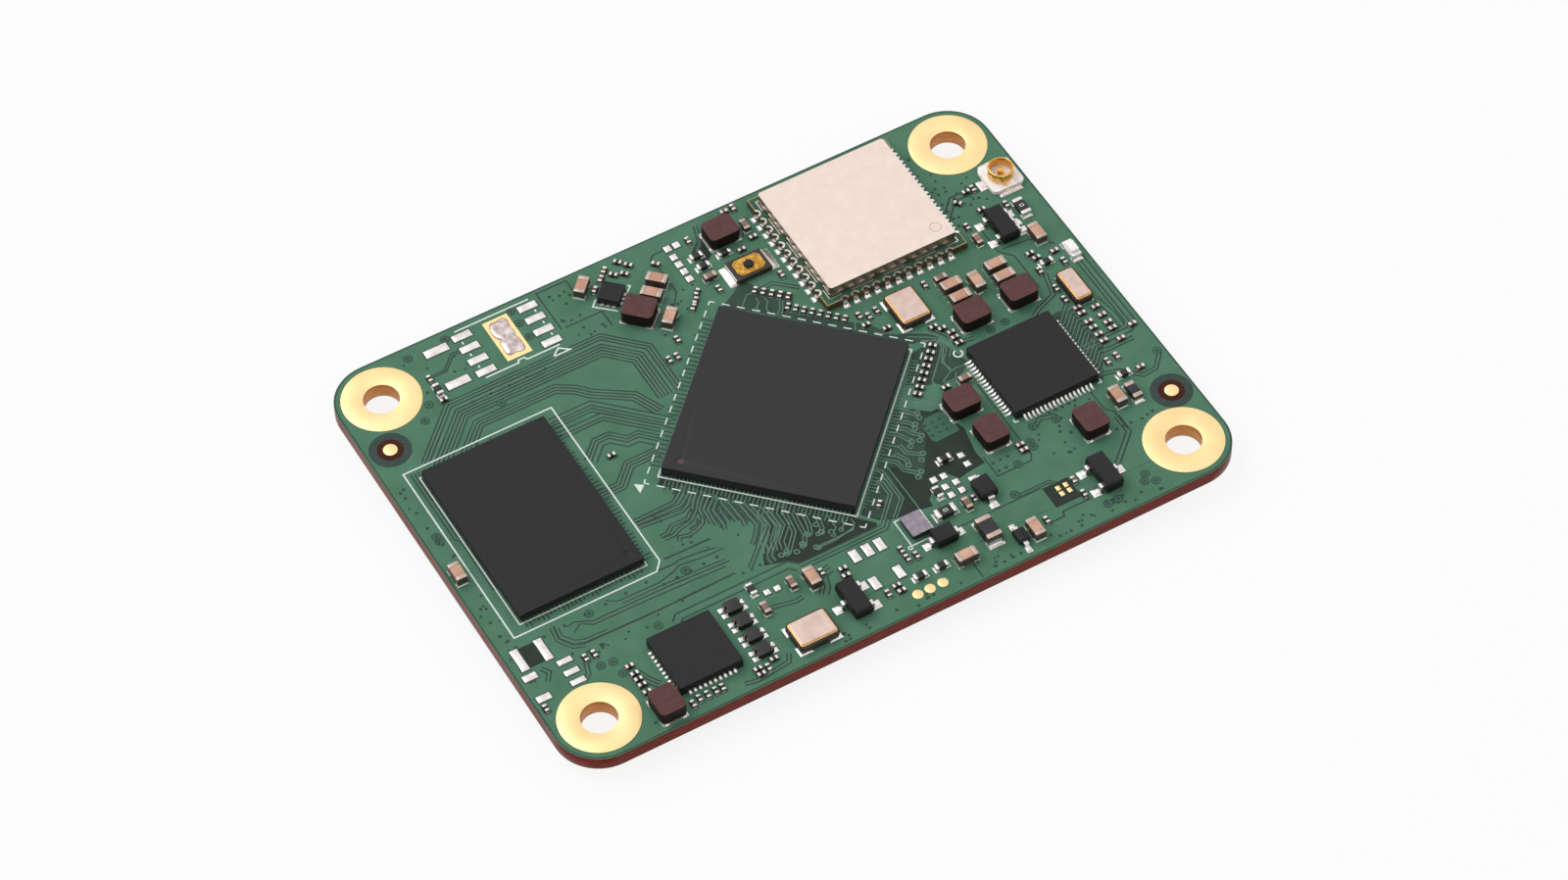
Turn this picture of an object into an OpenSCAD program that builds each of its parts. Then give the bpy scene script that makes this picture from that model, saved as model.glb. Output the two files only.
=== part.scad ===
// System on module: a small computer board. Its top carries the processor, the memory, a radio module,
// the power parts, an antenna socket and a push button. Two board connectors and a flash chip are below.
// Sizes are in mm. Z = 0 is the mating face of the connectors and +Z points out of the populated side.
// X runs along the long side and Y along the short side, and the board is centred on both.

/* [Board] */
// Length along X
board_l = 55; // [55:0.5:70]
// Width along Y
board_w = 40; // [40:0.5:50]
// Thickness of the laminate
board_t = 1.2; // [0.8:0.1:1.6]
// Radius of the four corners
corner_r = 3.5; // [1:0.25:4]
// Thickness of the copper lands
land_t = 0.04; // [0.03:0.01:0.06]

/* [Mounting holes] */
// Diameter of the plated holes
hole_d = 2.7; // [2.2:0.1:3.2]
// Distance of each hole from the two nearest edges
hole_inset = 3.5; // [3.3:0.1:3.5]
// Diameter of the gold ring round each hole
ring_d = 6; // [4.5:0.25:6]

/* [Processor] */
// Length of the package, which sits at 45 degrees
processor_l = 15.5; // [14.5:0.1:15.8]
// Width of the package
processor_w = 14.4; // [13.5:0.1:14.8]
// Height of the package above its solder balls
processor_h = 0.75; // [0.6:0.05:1.4]

/* [Memory] */
// Width of the memory package along X
memory_l = 10; // [9:0.1:10.4]
// Length of the memory package along Y
memory_w = 15; // [14:0.1:15.2]
// Height of the memory package above its solder balls
memory_h = 0.65; // [0.5:0.05:1]

/* [Radio module] */
// Side of the square module board
radio_side = 12; // [11.4:0.1:12.2]
// Total height above the main board
radio_h = 1.65; // [1.4:0.05:2.2]
// Contacts along each side
radio_pads = 11; // [7:2:11]
// Distance from one contact to the next
radio_pitch = 0.9; // [0.8:0.05:0.95]
// Side of the square shield
shield_side = 10.8; // [10:0.1:11]
// Thickness of the shield metal
shield_t = 0.12; // [0.08:0.01:0.2]

/* [Leadless chips] */
// Side of the power chip
power_side = 7; // [6.8:0.1:7.2]
// Leads on each side of the power chip
power_leads = 17; // [11:2:17]
// Side of the network chip
network_side = 5; // [4.8:0.1:5.2]
// Leads on each side of the network chip
network_leads = 10; // [8:1:11]
// Height of the leadless chips
leadless_h = 0.85; // [0.7:0.05:1]

/* [Chip parts] */
// Length of a coil
coil_l = 2.5; // [2.3:0.05:2.55]
// Width of a coil
coil_w = 2; // [1.8:0.05:2.1]
// Height of a coil
coil_h = 1.15; // [0.8:0.05:1.4]
// Length of a large capacitor
large_l = 1.6; // [1.5:0.05:1.7]
// Width of a large capacitor
large_w = 0.85; // [0.7:0.05:0.9]
// Height of a large capacitor
large_h = 0.8; // [0.5:0.05:1]
// Length of a small capacitor or resistor
small_l = 1; // [0.9:0.05:1.05]
// Width of a small capacitor or resistor
small_w = 0.5; // [0.45:0.05:0.55]
// Length of a tiny capacitor or resistor
tiny_l = 0.6; // [0.55:0.01:0.62]
// Width of a tiny capacitor or resistor
tiny_w = 0.3; // [0.26:0.01:0.32]

/* [Crystals] */
// Length of a crystal can
crystal_l = 3.2; // [3:0.05:3.3]
// Width of a main crystal can
crystal_w = 2.5; // [2.3:0.05:2.55]
// Width of the slim clock crystal can
clock_w = 1.5; // [1.3:0.05:1.6]
// Height of a crystal can
crystal_h = 0.75; // [0.6:0.05:0.9]

/* [Antenna socket] */
// Outside diameter of the gold shell
socket_d = 2; // [1.8:0.05:2.1]
// Height of the shell above its lands
socket_h = 1.25; // [1:0.05:1.5]

/* [Push button] */
// Height of the button's dark frame
button_h = 0.45; // [0.42:0.01:0.6]
// Diameter of the black nub
nub_d = 0.72; // [0.5:0.02:0.8]
// Travel of the nub
nub_travel = 0.15; // [0.08:0.01:0.16]

/* [Board connectors] */
// Height of the connectors, from the board to the mating face
connector_h = 1.05; // [1:0.05:1.5]
// Contacts in each of the two rows
connector_pins = 50; // [20:5:50]
// Distance from one contact to the next
connector_pitch = 0.4; // [0.35:0.05:0.4]

/* [Flash chip] */
// Length of the flash package along Y
flash_l = 13; // [11:0.5:14]
// Width of the flash package along X
flash_w = 11.5; // [9:0.5:11.5]
// Height of the flash package above its solder balls
flash_h = 0.7; // [0.5:0.05:0.75]

/* [Hidden] */
$fn = 48;
eps = 0.1;
board_top = connector_h + board_t;
seat = board_top + land_t;
hole_x = board_l / 2 - hole_inset;
hole_y = board_w / 2 - hole_inset;
plate_t = 0.04;
ball_h = 0.2;
ball_d = 0.35;
carrier_t = 0.25;
power_pitch = 0.35;
network_pitch = 0.4;
converter_side = 1.7;
converter_h = 0.6;
converter_leads = 3;
converter_pitch = 0.45;
sensor_l = 1.6;
sensor_w = 1.95;
sensor_h = 0.4;

// Sizes of the chip parts as [length, width, height, metal at each end]
coil = [coil_l, coil_w, coil_h, 0.5];
large_chip = [large_l, large_w, large_h, 0.35];
small_chip = [small_l, small_w, 0.5, 0.25];
thin_chip = [small_l, small_w, 0.36, 0.22];
link_chip = [1.6, 0.8, 0.45, 0.3];
bead_chip = [1.5, 0.75, 0.6, 0.35];
fuse_chip = [2, 1.2, 0.9, 0.4];
tiny_chip = [tiny_l, tiny_w, 0.28, 0.19];

// Board that the places below were drawn on
layout_l = 55;
layout_w = 40;

// Parts beyond these lines keep their distance from the nearest edge, and the rest stay with the processor
left_zone = -9.8;
right_zone = 13.05;
front_zone = -9;
back_zone = 11.5;

// Places on the top as [x, y, angle]
processor_at = [0.65, 0.35, 45];
memory_at = [-19.85, 1, 0];
radio_at = [14, 13, 0];
power_at = [18.1, -5.25, 0];
network_at = [-15.7, -15.3, 0];
converter_at = [-4.95, 16.45, 45];
sensor_at = [3.35, -13.5, 0];
socket_at = [25.7, 11.65, 0];
button_at = [5.1, 13.6, 0];
lamp_at = [26.45, 2.75, 90];

coils_at = [
    [-4.05, 13.75, -45], [4.8, 17.35, 0], [16.75, 0.95, 0], [20.8, 1, 0],
    [18.9, -12, 90], [-19.55, -18.25, 90], [11.8, -5.75, 0], [12.2, -9.2, 90]
];
large_at = [
    [-6.55, 18.05, 45], [-1.45, 15.8, -45], [-2.45, 14.8, -45], [-2.4, 12.15, 45],
    [16.9, 4.2, 0], [16.9, 2.85, 0], [18.7, 3.55, 90], [20.7, 4.2, 0], [20.7, 2.9, 0],
    [25, 5.3, 90], [21.85, -10.95, 90], [4.95, -17.8, 0], [10.45, -18.2, 90],
    [-5.4, -13.85, 90], [-26.75, -0.7, 90]
];
small_at = [
    [6.8, 17.2, 90], [2.15, 14.2, 0], [20.95, 7.1, 90], [16.65, 5.3, 0],
    [-9.5, -14.4, 90], [-6.8, -13.4, 90], [7.5, -13.7, 90], [13.3, -3.75, 0]
];
resistors_at = [
    [2.25, 16.5, 0], [2.25, 15.4, 0], [24.25, 2.75, 0], [4.2, 15.75, 0], [1.35, -17.45, 0],
    [3.1, -17.45, 0], [6.25, -11.7, 90], [8.2, -9.3, 0], [-9.5, -12.4, 90], [23.5, -9.2, 0],
    [-20.1, 15.05, 90]
];
links_at = [[25.45, 8.2, 90], [5.8, -13.5, 0]];
bead_at = [23.15, -11.05, 90];
fuse_at = [7.5, -16.6, 90];
filters_at = [for (i = [0:3]) [-11.4, -13.1 - 1.45 * i, 0]];
crystals_at = [[13.1, 4.1, 90], [-7.65, -17.8, 0]];
clock_at = [24.7, -0.45, 90];

// Tiny parts: capacitors beside the power chip and the radio, resistors elsewhere
tiny_capacitors_at = concat(
    [for (y = [-2.15, -2.75, -3.7, -4.35, -5.1, -5.8]) [23.9, y, 0]],
    [for (y = [-2.75, -3.65, -4.45, -5.1, -6.25]) [25.1, y, 0]],
    [[26.55, -5.5, 0], [24.9, -9.25, 0], [23.1, -7.6, 90], [23.95, -7.5, 90], [25.35, 3.4, 0]],
    [[14.75, 0.6, 0], [14.75, 0.05, 0], [13.6, -10.95, 0], [13.6, -11.5, 0], [15.2, -15.65, 90]],
    [[6.2, 19.3, 0], [6.95, 19.3, 90], [2.5, 18.2, 90], [-5.75, 17.55, 45], [-4.85, 18.25, 45]],
    [[-4.25, 18.85, 45], [-0.65, 17.45, -45], [6.85, 16.05, 0], [5.5, 15.4, 0], [6.85, 11.8, 90]]
);
tiny_resistors_at = concat(
    [for (i = [0:4]) [4.4 + 0.46 * i, 11.45 - 0.44 * i, 45]],
    [for (i = [0:7]) [5.7 + 0.43 * i, 8.85 - 0.45 * i, 45]],
    [for (i = [0:7]) [12.95 - 0.47 * i, 0.2 - 0.48 * i, -45]],
    [for (x = [-4.25, -3.6]) [x, 8.9, 90]],
    [[-2.8, 10.3, 90], [-0.3, 12.35, 45], [0.15, 12.85, 45], [0.65, 13.5, 45]],
    [[-3, 19.05, -45], [-2.45, 18.4, -45], [-3.1, 17.8, -45], [-3.85, 18.15, -45]],
    [[9.75, 5.4, 90], [10.35, 5, 90], [11.1, 5.2, 90], [9.75, 4.4, 0], [10.9, 3.35, 0]],
    [[13.9, 1.7, 0], [14.35, 1.25, 0], [14.75, -0.55, 0], [2.2, 12.95, 90]],
    [[2.15, -10.4, 45], [-12.15, 3.3, 0], [23.55, 0.25, 90], [23.55, -1, 90]],
    [[23.65, 4.1, 0], [23.85, 3.5, 0], [25.45, 2.2, 90], [23.4, 2.3, 90]],
    [[21, 8.7, 90], [22.8, 9.6, 0], [24.65, 9.1, 90], [15.4, 5.5, 90]],
    [[23.3, 11.7, 90], [22.7, 11.7, 0], [21.6, 11.05, -45]],
    [[-20.15, 16.3, 90], [-20.15, 14.05, 0], [-22.4, -11.6, 90], [-21.7, -11.6, 90], [-26.85, -14, 90]],
    [for (y = [-13.8, -14.55, -15.1, -15.65, -16.35]) [-20.1, y, 0]],
    [for (x = [-17.25, -16.6, -15.95, -15.4]) [x, -18.7, 90]],
    [[-17.85, -18.9, 90], [-12.5, -18.6, 0], [-12.5, -19.1, 0], [-11.8, -18.85, 90], [-11.1, -18.4, 0]],
    [[-4.45, -13.55, 90], [-3, -14.05, 0], [-3.1, -14.7, 0], [-1.35, -17.6, 90]],
    [[-0.5, -17.3, 0], [-0.4, -17.85, 0], [1.4, -14.75, 90], [1.4, -15.6, 90], [2.1, -15.7, 90]],
    [[8.25, -13.45, 90], [11.65, -17.75, 90], [11.75, -3.65, 0], [15.2, -17.05, 90]]
);

// Lead frame parts as [x, y, angle, leads on the left, leads on the right]
transistors_at = [
    [23.15, 7.3, 0, [-0.95, 0.95], [-0.95, 0, 0.95]],
    [17.3, -16.45, 0, [-0.95, 0.95], [0]],
    [-3.8, -17, 0, [0], [-0.95, 0.95]]
];
diodes_at = [[4.55, -15.4, 0], [9.2, -13.2, 90]];
guard_at = [9.25, -18.15, 90];

// Lands without a part, as [x, y, length, width]
bare_at = concat(
    [for (x = [-16.2, -10.75], y = [18.78, 17.52, 16.22, 14.97]) [x, y, 1.55, 0.65]],
    [[-18.45, 18.5, 1.95, 0.75], [-18.45, 15.05, 1.95, 0.75], [1.6, 18.35, 0.55, 0.6]],
    [for (y = [18.35, 17.4, 16.6, 15.8, 15]) [0.85, y, 0.55, 0.6]],
    [for (x = [-1.65, -0.6, 0.4]) [x, -13.45, 0.65, 1.15]],
    [for (x = [-1.65, 0.35]) [x, -16.25, 0.65, 1.15]],
    [[6.65, -10.45, 0.5, 0.55], [7.45, -10.5, 0.5, 0.55], [9.5, -10.4, 0.5, 0.5], [9.5, -9.5, 0.5, 0.5]],
    [for (x = [7.05, 7.95], y = [-11.4, -12.25]) [x, y, 0.5, 0.55]],
    [[-8.6, -13.05, 0.5, 0.5], [-7.8, -13.1, 0.5, 0.5]],
    [for (x = [-26.45, -24.55]) [x, -9.35, 0.62, 2.1]],
    [[-26.5, -11, 1.1, 0.6], [-26.5, -13.05, 1.1, 0.6]],
    [for (y = [-11, -12.05, -13]) [-23.75, y, 1.15, 0.5]]
);

// Gold lands: target dots, test points, a small group and a heat land
targets_at = [[-25.6, 12], [25.7, -12.2]];
test_points_at = [for (x = [0.45, 1.45, 2.5]) [x, -18.65]];
gold_group_at = [for (x = [13.9, 14.55], y = [-15.65, -16.2]) [x, y]];
heat_land_at = [-13.4, 16.95, 2.05, 4.1];

// Underside
connectors_at = [[0, hole_y], [0, -hole_y]];
connector_w = 2.4;
connector_l = connector_pins * connector_pitch + 1.6;
flash_at = [-14, 0, 90];
under_at = [for (x = [-2, 0, 2, 4], y = [-2.4, 0, 2.4]) [x, y, 90]];

// Node drawn on its own, or all of them

// Shared shapes

module slab(l, w, h) {
    translate([-l / 2, -w / 2, 0])
        cube([l, w, h]);
}

module round_slab(l, w, h, r) {
    linear_extrude(height = h) {
        square([l - 2 * r, w], center = true);
        square([l, w - 2 * r], center = true);
        for (x = [-1, 1], y = [-1, 1])
            translate([x * (l / 2 - r), y * (w / 2 - r)])
                circle(r = r);
    }
}

// Place of a part on the board at its present size
function with_edge(v, low, high, growth) =
    v < low ? v - growth / 2 : v > high ? v + growth / 2 : v;

function placed(p, z) = [
    with_edge(p[0], left_zone, right_zone, board_l - layout_l),
    with_edge(p[1], front_zone, back_zone, board_w - layout_w),
    z
];

// Puts a copy at each place, on the lands unless another height is given
module put(places, z = seat) {
    for (p = places)
        translate(placed(p, z))
            rotate(p[2])
                children();
}

// Puts a copy at each place on the underside, upside down
module put_under(places, gap = land_t) {
    for (p = places)
        translate(placed(p, connector_h - gap))
            rotate(p[2])
                mirror([0, 0, 1])
                    children();
}

// Two-ended chip parts: the middle and its two metal ends
module chip_middle(s) {
    translate([0, 0, 0.015])
        slab(s[0] - 2 * s[3], s[1] - 0.03, s[2] - 0.03);
}

module chip_ends(s) {
    for (side = [-1, 1])
        translate([side * (s[0] - s[3]) / 2, 0, 0])
            slab(s[3], s[1], s[2]);
}

module chip_lands(s, reach) {
    for (side = [-1, 1])
        translate([side * (s[0] + reach - s[3] - 0.04) / 2, 0, -land_t])
            slab(s[3] + reach + 0.04, s[1] + 0.06, land_t);
}

// Outer two rows of a grid of solder balls
module ball_rows(across, along, pitch) {
    for (i = [0:across - 1], j = [0:along - 1])
        if (min(i, across - 1 - i, j, along - 1 - j) < 2)
            translate([(i - (across - 1) / 2) * pitch, (j - (along - 1) / 2) * pitch, 0])
                cylinder(d = ball_d, h = ball_h, $fn = 8);
}

// Leadless chips: a lead frame flush with the mould on all four sides
module leadless_row(side, leads, pitch) {
    for (turn = [0:90:270], i = [0:leads - 1])
        rotate(turn)
            translate([(i - (leads - 1) / 2) * pitch, -side / 2, 0])
                children();
}

module leadless_leads(side, leads, pitch) {
    leadless_row(side, leads, pitch)
        translate([-pitch * 0.28, 0, 0])
            cube([pitch * 0.56, 0.4, 0.2]);
    slab(side * 0.68, side * 0.68, 0.2);
}

module leadless_body(side, leads, pitch) {
    difference() {
        slab(side, side, leadless_h);
        leadless_leads(side, leads, pitch);
    }
}

module leadless_lands(side, leads, pitch, reach) {
    leadless_row(side, leads, pitch)
        translate([-pitch * 0.28, -reach, -land_t])
            cube([pitch * 0.56, reach + 0.35, land_t]);
    translate([0, 0, -land_t])
        slab(side * 0.66, side * 0.66, land_t);
}

// Moulded body with a parting line, its long axis along Y
module moulded_body(l, w, h, lead_t) {
    lift = 0.08;
    middle = lift + (h - lift) * 0.5;
    draft = 0.1;
    rotate([90, 0, 0])
        linear_extrude(height = l, center = true)
            polygon([
                [draft - w / 2, lift], [w / 2 - draft, lift],
                [w / 2, middle - lead_t / 2], [w / 2, middle + lead_t / 2],
                [w / 2 - draft, h], [draft - w / 2, h],
                [-w / 2, middle + lead_t / 2], [-w / 2, middle - lead_t / 2]
            ]);
}

// Bent lead that leaves the body at its parting line and stands on a land at +X
module bent_lead(w, h, lead_t, lead_w) {
    middle = 0.08 + (h - 0.08) * 0.5;
    rotate([90, 0, 0])
        linear_extrude(height = lead_w, center = true)
            polygon([
                [w / 2, middle - lead_t / 2], [w / 2 + 0.16, middle - lead_t / 2],
                [w / 2 + 0.24, 0], [w / 2 + 0.68, 0], [w / 2 + 0.68, lead_t],
                [w / 2 + 0.34, lead_t], [w / 2 + 0.26, middle + lead_t / 2],
                [w / 2, middle + lead_t / 2]
            ]);
}

// Board

module circuit_board() {
    color("#3f7a5a")
        translate([0, 0, connector_h])
            difference() {
                round_slab(board_l, board_w, board_t, corner_r);
                for (x = [-hole_x, hole_x], y = [-hole_y, hole_y])
                    translate([x, y, -eps])
                        cylinder(d = hole_d + 2 * plate_t, h = board_t + 2 * eps);
            }
}

module hole_platings() {
    color("#e8c684")
        for (x = [-hole_x, hole_x], y = [-hole_y, hole_y])
            translate([x, y, connector_h])
                rotate_extrude()
                    polygon([
                        [hole_d / 2, -land_t], [ring_d / 2, -land_t], [ring_d / 2, 0],
                        [hole_d / 2 + plate_t, 0], [hole_d / 2 + plate_t, board_t],
                        [ring_d / 2, board_t], [ring_d / 2, board_t + land_t],
                        [hole_d / 2, board_t + land_t]
                    ]);
}

module gold_lands() {
    color("#e8c684")
        union() {
            for (p = targets_at)
                translate(placed(p, board_top))
                    cylinder(r = 0.53, h = land_t);
            for (p = test_points_at)
                translate(placed(p, board_top))
                    cylinder(r = 0.4, h = land_t);
            for (p = gold_group_at)
                translate(placed(p, board_top))
                    slab(0.33, 0.4, land_t);
            translate(placed(heat_land_at, board_top))
                slab(heat_land_at[2], heat_land_at[3], land_t);
        }
}

module bare_lands() {
    color("#d9dcdc")
        for (p = bare_at)
            translate(placed(p, board_top))
                slab(p[2], p[3], land_t);
}

module part_lands() {
    color("#d0d2d0") {
        put(coils_at) coil_lands();
        put(large_at) chip_lands(large_chip, 0.06);
        put(small_at) chip_lands(small_chip, 0.06);
        put_under(under_at) chip_lands(small_chip, 0.16);
        put(resistors_at) chip_lands(thin_chip, 0.14);
        put(links_at) chip_lands(link_chip, 0.16);
        put([bead_at]) chip_lands(bead_chip, 0.24);
        put([fuse_at]) chip_lands(fuse_chip, 0.34);
        put([lamp_at]) chip_lands(link_chip, 0.22);
        put([power_at]) leadless_lands(power_side, power_leads, power_pitch, 0.5);
        put([network_at]) leadless_lands(network_side, network_leads, network_pitch, 0.24);
        put([converter_at]) leadless_lands(converter_side, converter_leads, converter_pitch, 0.15);
        put(crystals_at) crystal_lands(crystal_w);
        put([clock_at]) clock_lands();
        put(filters_at) line_filter_lands();
        put(diodes_at) diode_lands(diode[0], 0.7);
        put([guard_at]) diode_lands(guard[0], 0.45);
        put([socket_at]) socket_lands();
        put([button_at]) button_lands();
        for (p = transistors_at)
            translate(placed(p, board_top))
                for (row = [[-1, p[3]], [1, p[4]]], y = row[1])
                    translate([row[0] * 1.25, y, 0])
                        slab(0.75, 0.75, land_t);
    }
}

// Processor

module processor_balls() {
    color("#b9bcc0")
        put([processor_at], board_top)
            ball_rows(23, 21, 0.6);
}

module processor_carrier() {
    color("#2f3b35")
        put([processor_at], board_top + ball_h)
            slab(processor_l, processor_w, carrier_t);
}

module processor_mould() {
    color("#34353a")
        put([processor_at], board_top + ball_h + carrier_t)
            difference() {
                slab(processor_l, processor_w, processor_h - carrier_t);
                translate([0.85 - processor_l / 2, processor_w / 2 - 1.25, processor_h - carrier_t - 0.03])
                    cylinder(d = 0.7, h = eps);
            }
}

// Memory

module memory_balls() {
    color("#b9bcc0")
        put([memory_at], board_top)
            ball_rows(12, 18, 0.75);
}

module memory_carrier() {
    color("#2f3b35")
        put([memory_at], board_top + ball_h)
            slab(memory_l, memory_w, carrier_t);
}

module memory_mould() {
    color("#26262a")
        put([memory_at], board_top + ball_h + carrier_t)
            difference() {
                slab(memory_l, memory_w, memory_h - carrier_t);
                translate([memory_l / 2 - 0.9, 0.9 - memory_w / 2, memory_h - carrier_t - 0.03])
                    cylinder(d = 0.6, h = eps);
            }
}

// Radio module: a board with half holes along its edges, and a two-piece shield on it

radio_t = 0.6;
fence_side = shield_side - 2 * shield_t;
fence_h = radio_h - land_t - radio_t - shield_t;

module radio_edge(turns = [0:90:270]) {
    for (turn = turns, i = [0:radio_pads - 1])
        rotate(turn)
            translate([(i - (radio_pads - 1) / 2) * radio_pitch, -radio_side / 2, 0])
                children();
}

module radio_board() {
    color("#4a6b4c")
        put([radio_at])
            difference() {
                slab(radio_side, radio_side, radio_t);
                translate([0, 0, -eps])
                    radio_edge()
                        cylinder(r = 0.2, h = radio_t + 2 * eps, $fn = 8);
            }
}

module radio_joints() {
    color("#d5d5d2")
        put([radio_at])
            union() {
                radio_edge()
                    cylinder(r = 0.2, h = radio_t * 0.45, $fn = 8);
                radio_edge([0, 270])
                    translate([-0.27, -0.45, -land_t])
                        cube([0.54, 0.75, land_t]);
                radio_edge([90, 180])
                    translate([-0.27, -0.22, -land_t])
                        cube([0.54, 0.52, land_t]);
            }
}

module radio_chip() {
    color("#202024")
        put([radio_at], seat + radio_t)
            slab(4.8, 4.4, 0.45);
}

module shield_frame() {
    color("#b9aea4")
        put([radio_at], seat + radio_t)
            difference() {
                slab(fence_side, fence_side, fence_h);
                translate([0, 0, -eps])
                    slab(fence_side - 2 * shield_t, fence_side - 2 * shield_t, fence_h + 2 * eps);
            }
}

module shield_lid() {
    lid_h = fence_h + shield_t - 0.1;
    color("#e6d9ce")
        put([radio_at], board_top + radio_h - lid_h)
            difference() {
                round_slab(shield_side, shield_side, lid_h, 0.25);
                translate([0, 0, -eps])
                    slab(fence_side, fence_side, lid_h - shield_t + eps);
                for (turn = [0, 90], i = [-5:5])
                    rotate(turn)
                        translate([i * 0.9, 0, lid_h * 0.25])
                            slab(0.42, shield_side + eps, lid_h * 0.3);
            }
}

// Power, network, converter and sensor chips

module power_chip() {
    color("#2b2b2e")
        put([power_at])
            leadless_body(power_side, power_leads, power_pitch);
}

module power_chip_leads() {
    color("#c9cac6")
        put([power_at])
            leadless_leads(power_side, power_leads, power_pitch);
}

module network_chip() {
    color("#2b2b2e")
        put([network_at])
            leadless_body(network_side, network_leads, network_pitch);
}

module network_chip_leads() {
    color("#c9cac6")
        put([network_at])
            leadless_leads(network_side, network_leads, network_pitch);
}

module converter_chip() {
    color("#2b2b2e")
        put([converter_at])
            intersection() {
                leadless_body(converter_side, converter_leads, converter_pitch);
                slab(2 * converter_side, 2 * converter_side, converter_h);
            }
}

module converter_chip_leads() {
    color("#c9cac6")
        put([converter_at])
            leadless_leads(converter_side, converter_leads, converter_pitch);
}

module sensor_chip() {
    color("#8d8a98")
        put([sensor_at], board_top + ball_h)
            slab(sensor_l, sensor_w, sensor_h);
}

module sensor_chip_bumps() {
    color("#c9cac6")
        put([sensor_at], board_top)
            for (x = [-0.6, -0.2, 0.2, 0.6], y = [-0.8, -0.4, 0, 0.4, 0.8])
                translate([x, y, 0])
                    cylinder(d = 0.22, h = ball_h, $fn = 8);
}

// Coils

module coil_bodies() {
    color("#4c3734")
        put(coils_at, seat + 0.08)
            round_slab(coil_l - 0.1, coil_w, coil_h - 0.08, 0.35);
}

module coil_terminals() {
    color("#d5d5d2")
        put(coils_at)
            for (turn = [0, 180])
                rotate(turn) {
                    translate([coil_l / 2 - coil[3], -coil_w / 2 + 0.1, 0])
                        cube([coil[3], coil_w - 0.2, 0.08]);
                    translate([coil_l / 2 - 0.05, -coil_w / 2 + 0.35, 0])
                        cube([0.05, coil_w - 0.7, 0.14]);
                }
}

module coil_lands() {
    for (side = [-1, 1])
        translate([side * (coil_l / 2 - coil[3] / 2), 0, -land_t])
            slab(coil[3] + 0.06, coil_w + 0.04, land_t);
}

// Capacitors, resistors and beads

module large_capacitor_bodies() {
    color("#a87a62")
        put(large_at)
            chip_middle(large_chip);
}

module large_capacitor_ends() {
    color("#cdb9ac")
        put(large_at)
            chip_ends(large_chip);
}

module small_capacitor_bodies() {
    color("#8e6f5f") {
        put(small_at) chip_middle(small_chip);
        put_under(under_at) chip_middle(small_chip);
    }
}

module small_capacitor_ends() {
    color("#cdc4bc") {
        put(small_at) chip_ends(small_chip);
        put_under(under_at) chip_ends(small_chip);
    }
}

module resistor_bodies() {
    color("#2c2a2c") {
        put(resistors_at) chip_middle(thin_chip);
        put(links_at) chip_middle(link_chip);
    }
}

module resistor_ends() {
    color("#d5d5d2") {
        put(resistors_at) chip_ends(thin_chip);
        put(links_at) chip_ends(link_chip);
    }
}

module tiny_capacitor_bodies() {
    color("#4a3c38")
        put(tiny_capacitors_at, board_top)
            chip_middle(tiny_chip);
}

module tiny_capacitor_ends() {
    color("#dcdcda")
        put(tiny_capacitors_at, board_top)
            chip_ends(tiny_chip);
}

module tiny_resistor_bodies() {
    color("#2a2a2c")
        put(tiny_resistors_at, board_top)
            chip_middle(tiny_chip);
}

module tiny_resistor_ends() {
    color("#dcdcda")
        put(tiny_resistors_at, board_top)
            chip_ends(tiny_chip);
}

module bead_bodies() {
    color("#3b3a3d") {
        put([bead_at]) chip_middle(bead_chip);
        put([fuse_at]) chip_middle(fuse_chip);
    }
}

module bead_ends() {
    color("#cfcfcc") {
        put([bead_at]) chip_ends(bead_chip);
        put([fuse_at]) chip_ends(fuse_chip);
    }
}

// Line filters with four terminals each

module line_filter_bodies() {
    color("#34343a")
        put(filters_at)
            slab(1.02, 1, 0.5);
}

module line_filter_corners(reach) {
    for (x = [-1, 1], y = [-0.28, 0.28])
        translate([x * (0.51 + reach / 2), y, 0])
            children();
}

module line_filter_terminals() {
    color("#d5d5d2")
        put(filters_at)
            line_filter_corners(0.12)
                slab(0.12, 0.34, 0.5);
}

module line_filter_lands() {
    translate([0, 0, -land_t])
        line_filter_corners(0.44)
            slab(0.6, 0.42, land_t);
}

// Crystals: a ceramic base, a gold rim and a metal lid

module crystal_stack() {
    put(crystals_at) children(0);
    put([clock_at]) children(1);
}

module crystal_base(w) {
    difference() {
        slab(crystal_l, w, crystal_h - 0.16);
        for (x = [-1, 1], y = [-1, 1])
            translate([x * crystal_l / 2, y * w / 2, -eps])
                cylinder(r = 0.18, h = crystal_h);
    }
}

module crystal_rim(w) {
    translate([0, 0, crystal_h - 0.16])
        difference() {
            round_slab(crystal_l - 0.24, w - 0.24, 0.06, 0.2);
            translate([0, 0, -eps])
                slab(crystal_l - 0.9, w - 0.9, 1);
        }
}

module crystal_lid(w) {
    translate([0, 0, crystal_h - 0.1])
        round_slab(crystal_l - 0.44, w - 0.44, 0.1, 0.15);
}

module crystal_lands(w) {
    for (x = [-1, 1], y = [-1, 1])
        translate([x * (crystal_l / 2 - 0.39), y * (w / 2 - 0.29), -land_t])
            slab(1.1, 0.9, land_t);
}

module clock_lands() {
    for (x = [-1, 1])
        translate([x * (crystal_l / 2 - 0.33), 0, -land_t])
            slab(0.7, clock_w - 0.1, land_t);
}

module crystal_bases() {
    color("#4b3a36")
        crystal_stack() {
            crystal_base(crystal_w);
            crystal_base(clock_w);
        }
}

module crystal_rims() {
    color("#d8a850")
        crystal_stack() {
            crystal_rim(crystal_w);
            crystal_rim(clock_w);
        }
}

module crystal_lids() {
    color("#d8ccc4")
        crystal_stack() {
            crystal_lid(crystal_w);
            crystal_lid(clock_w);
        }
}

// Transistors and diodes

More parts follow.
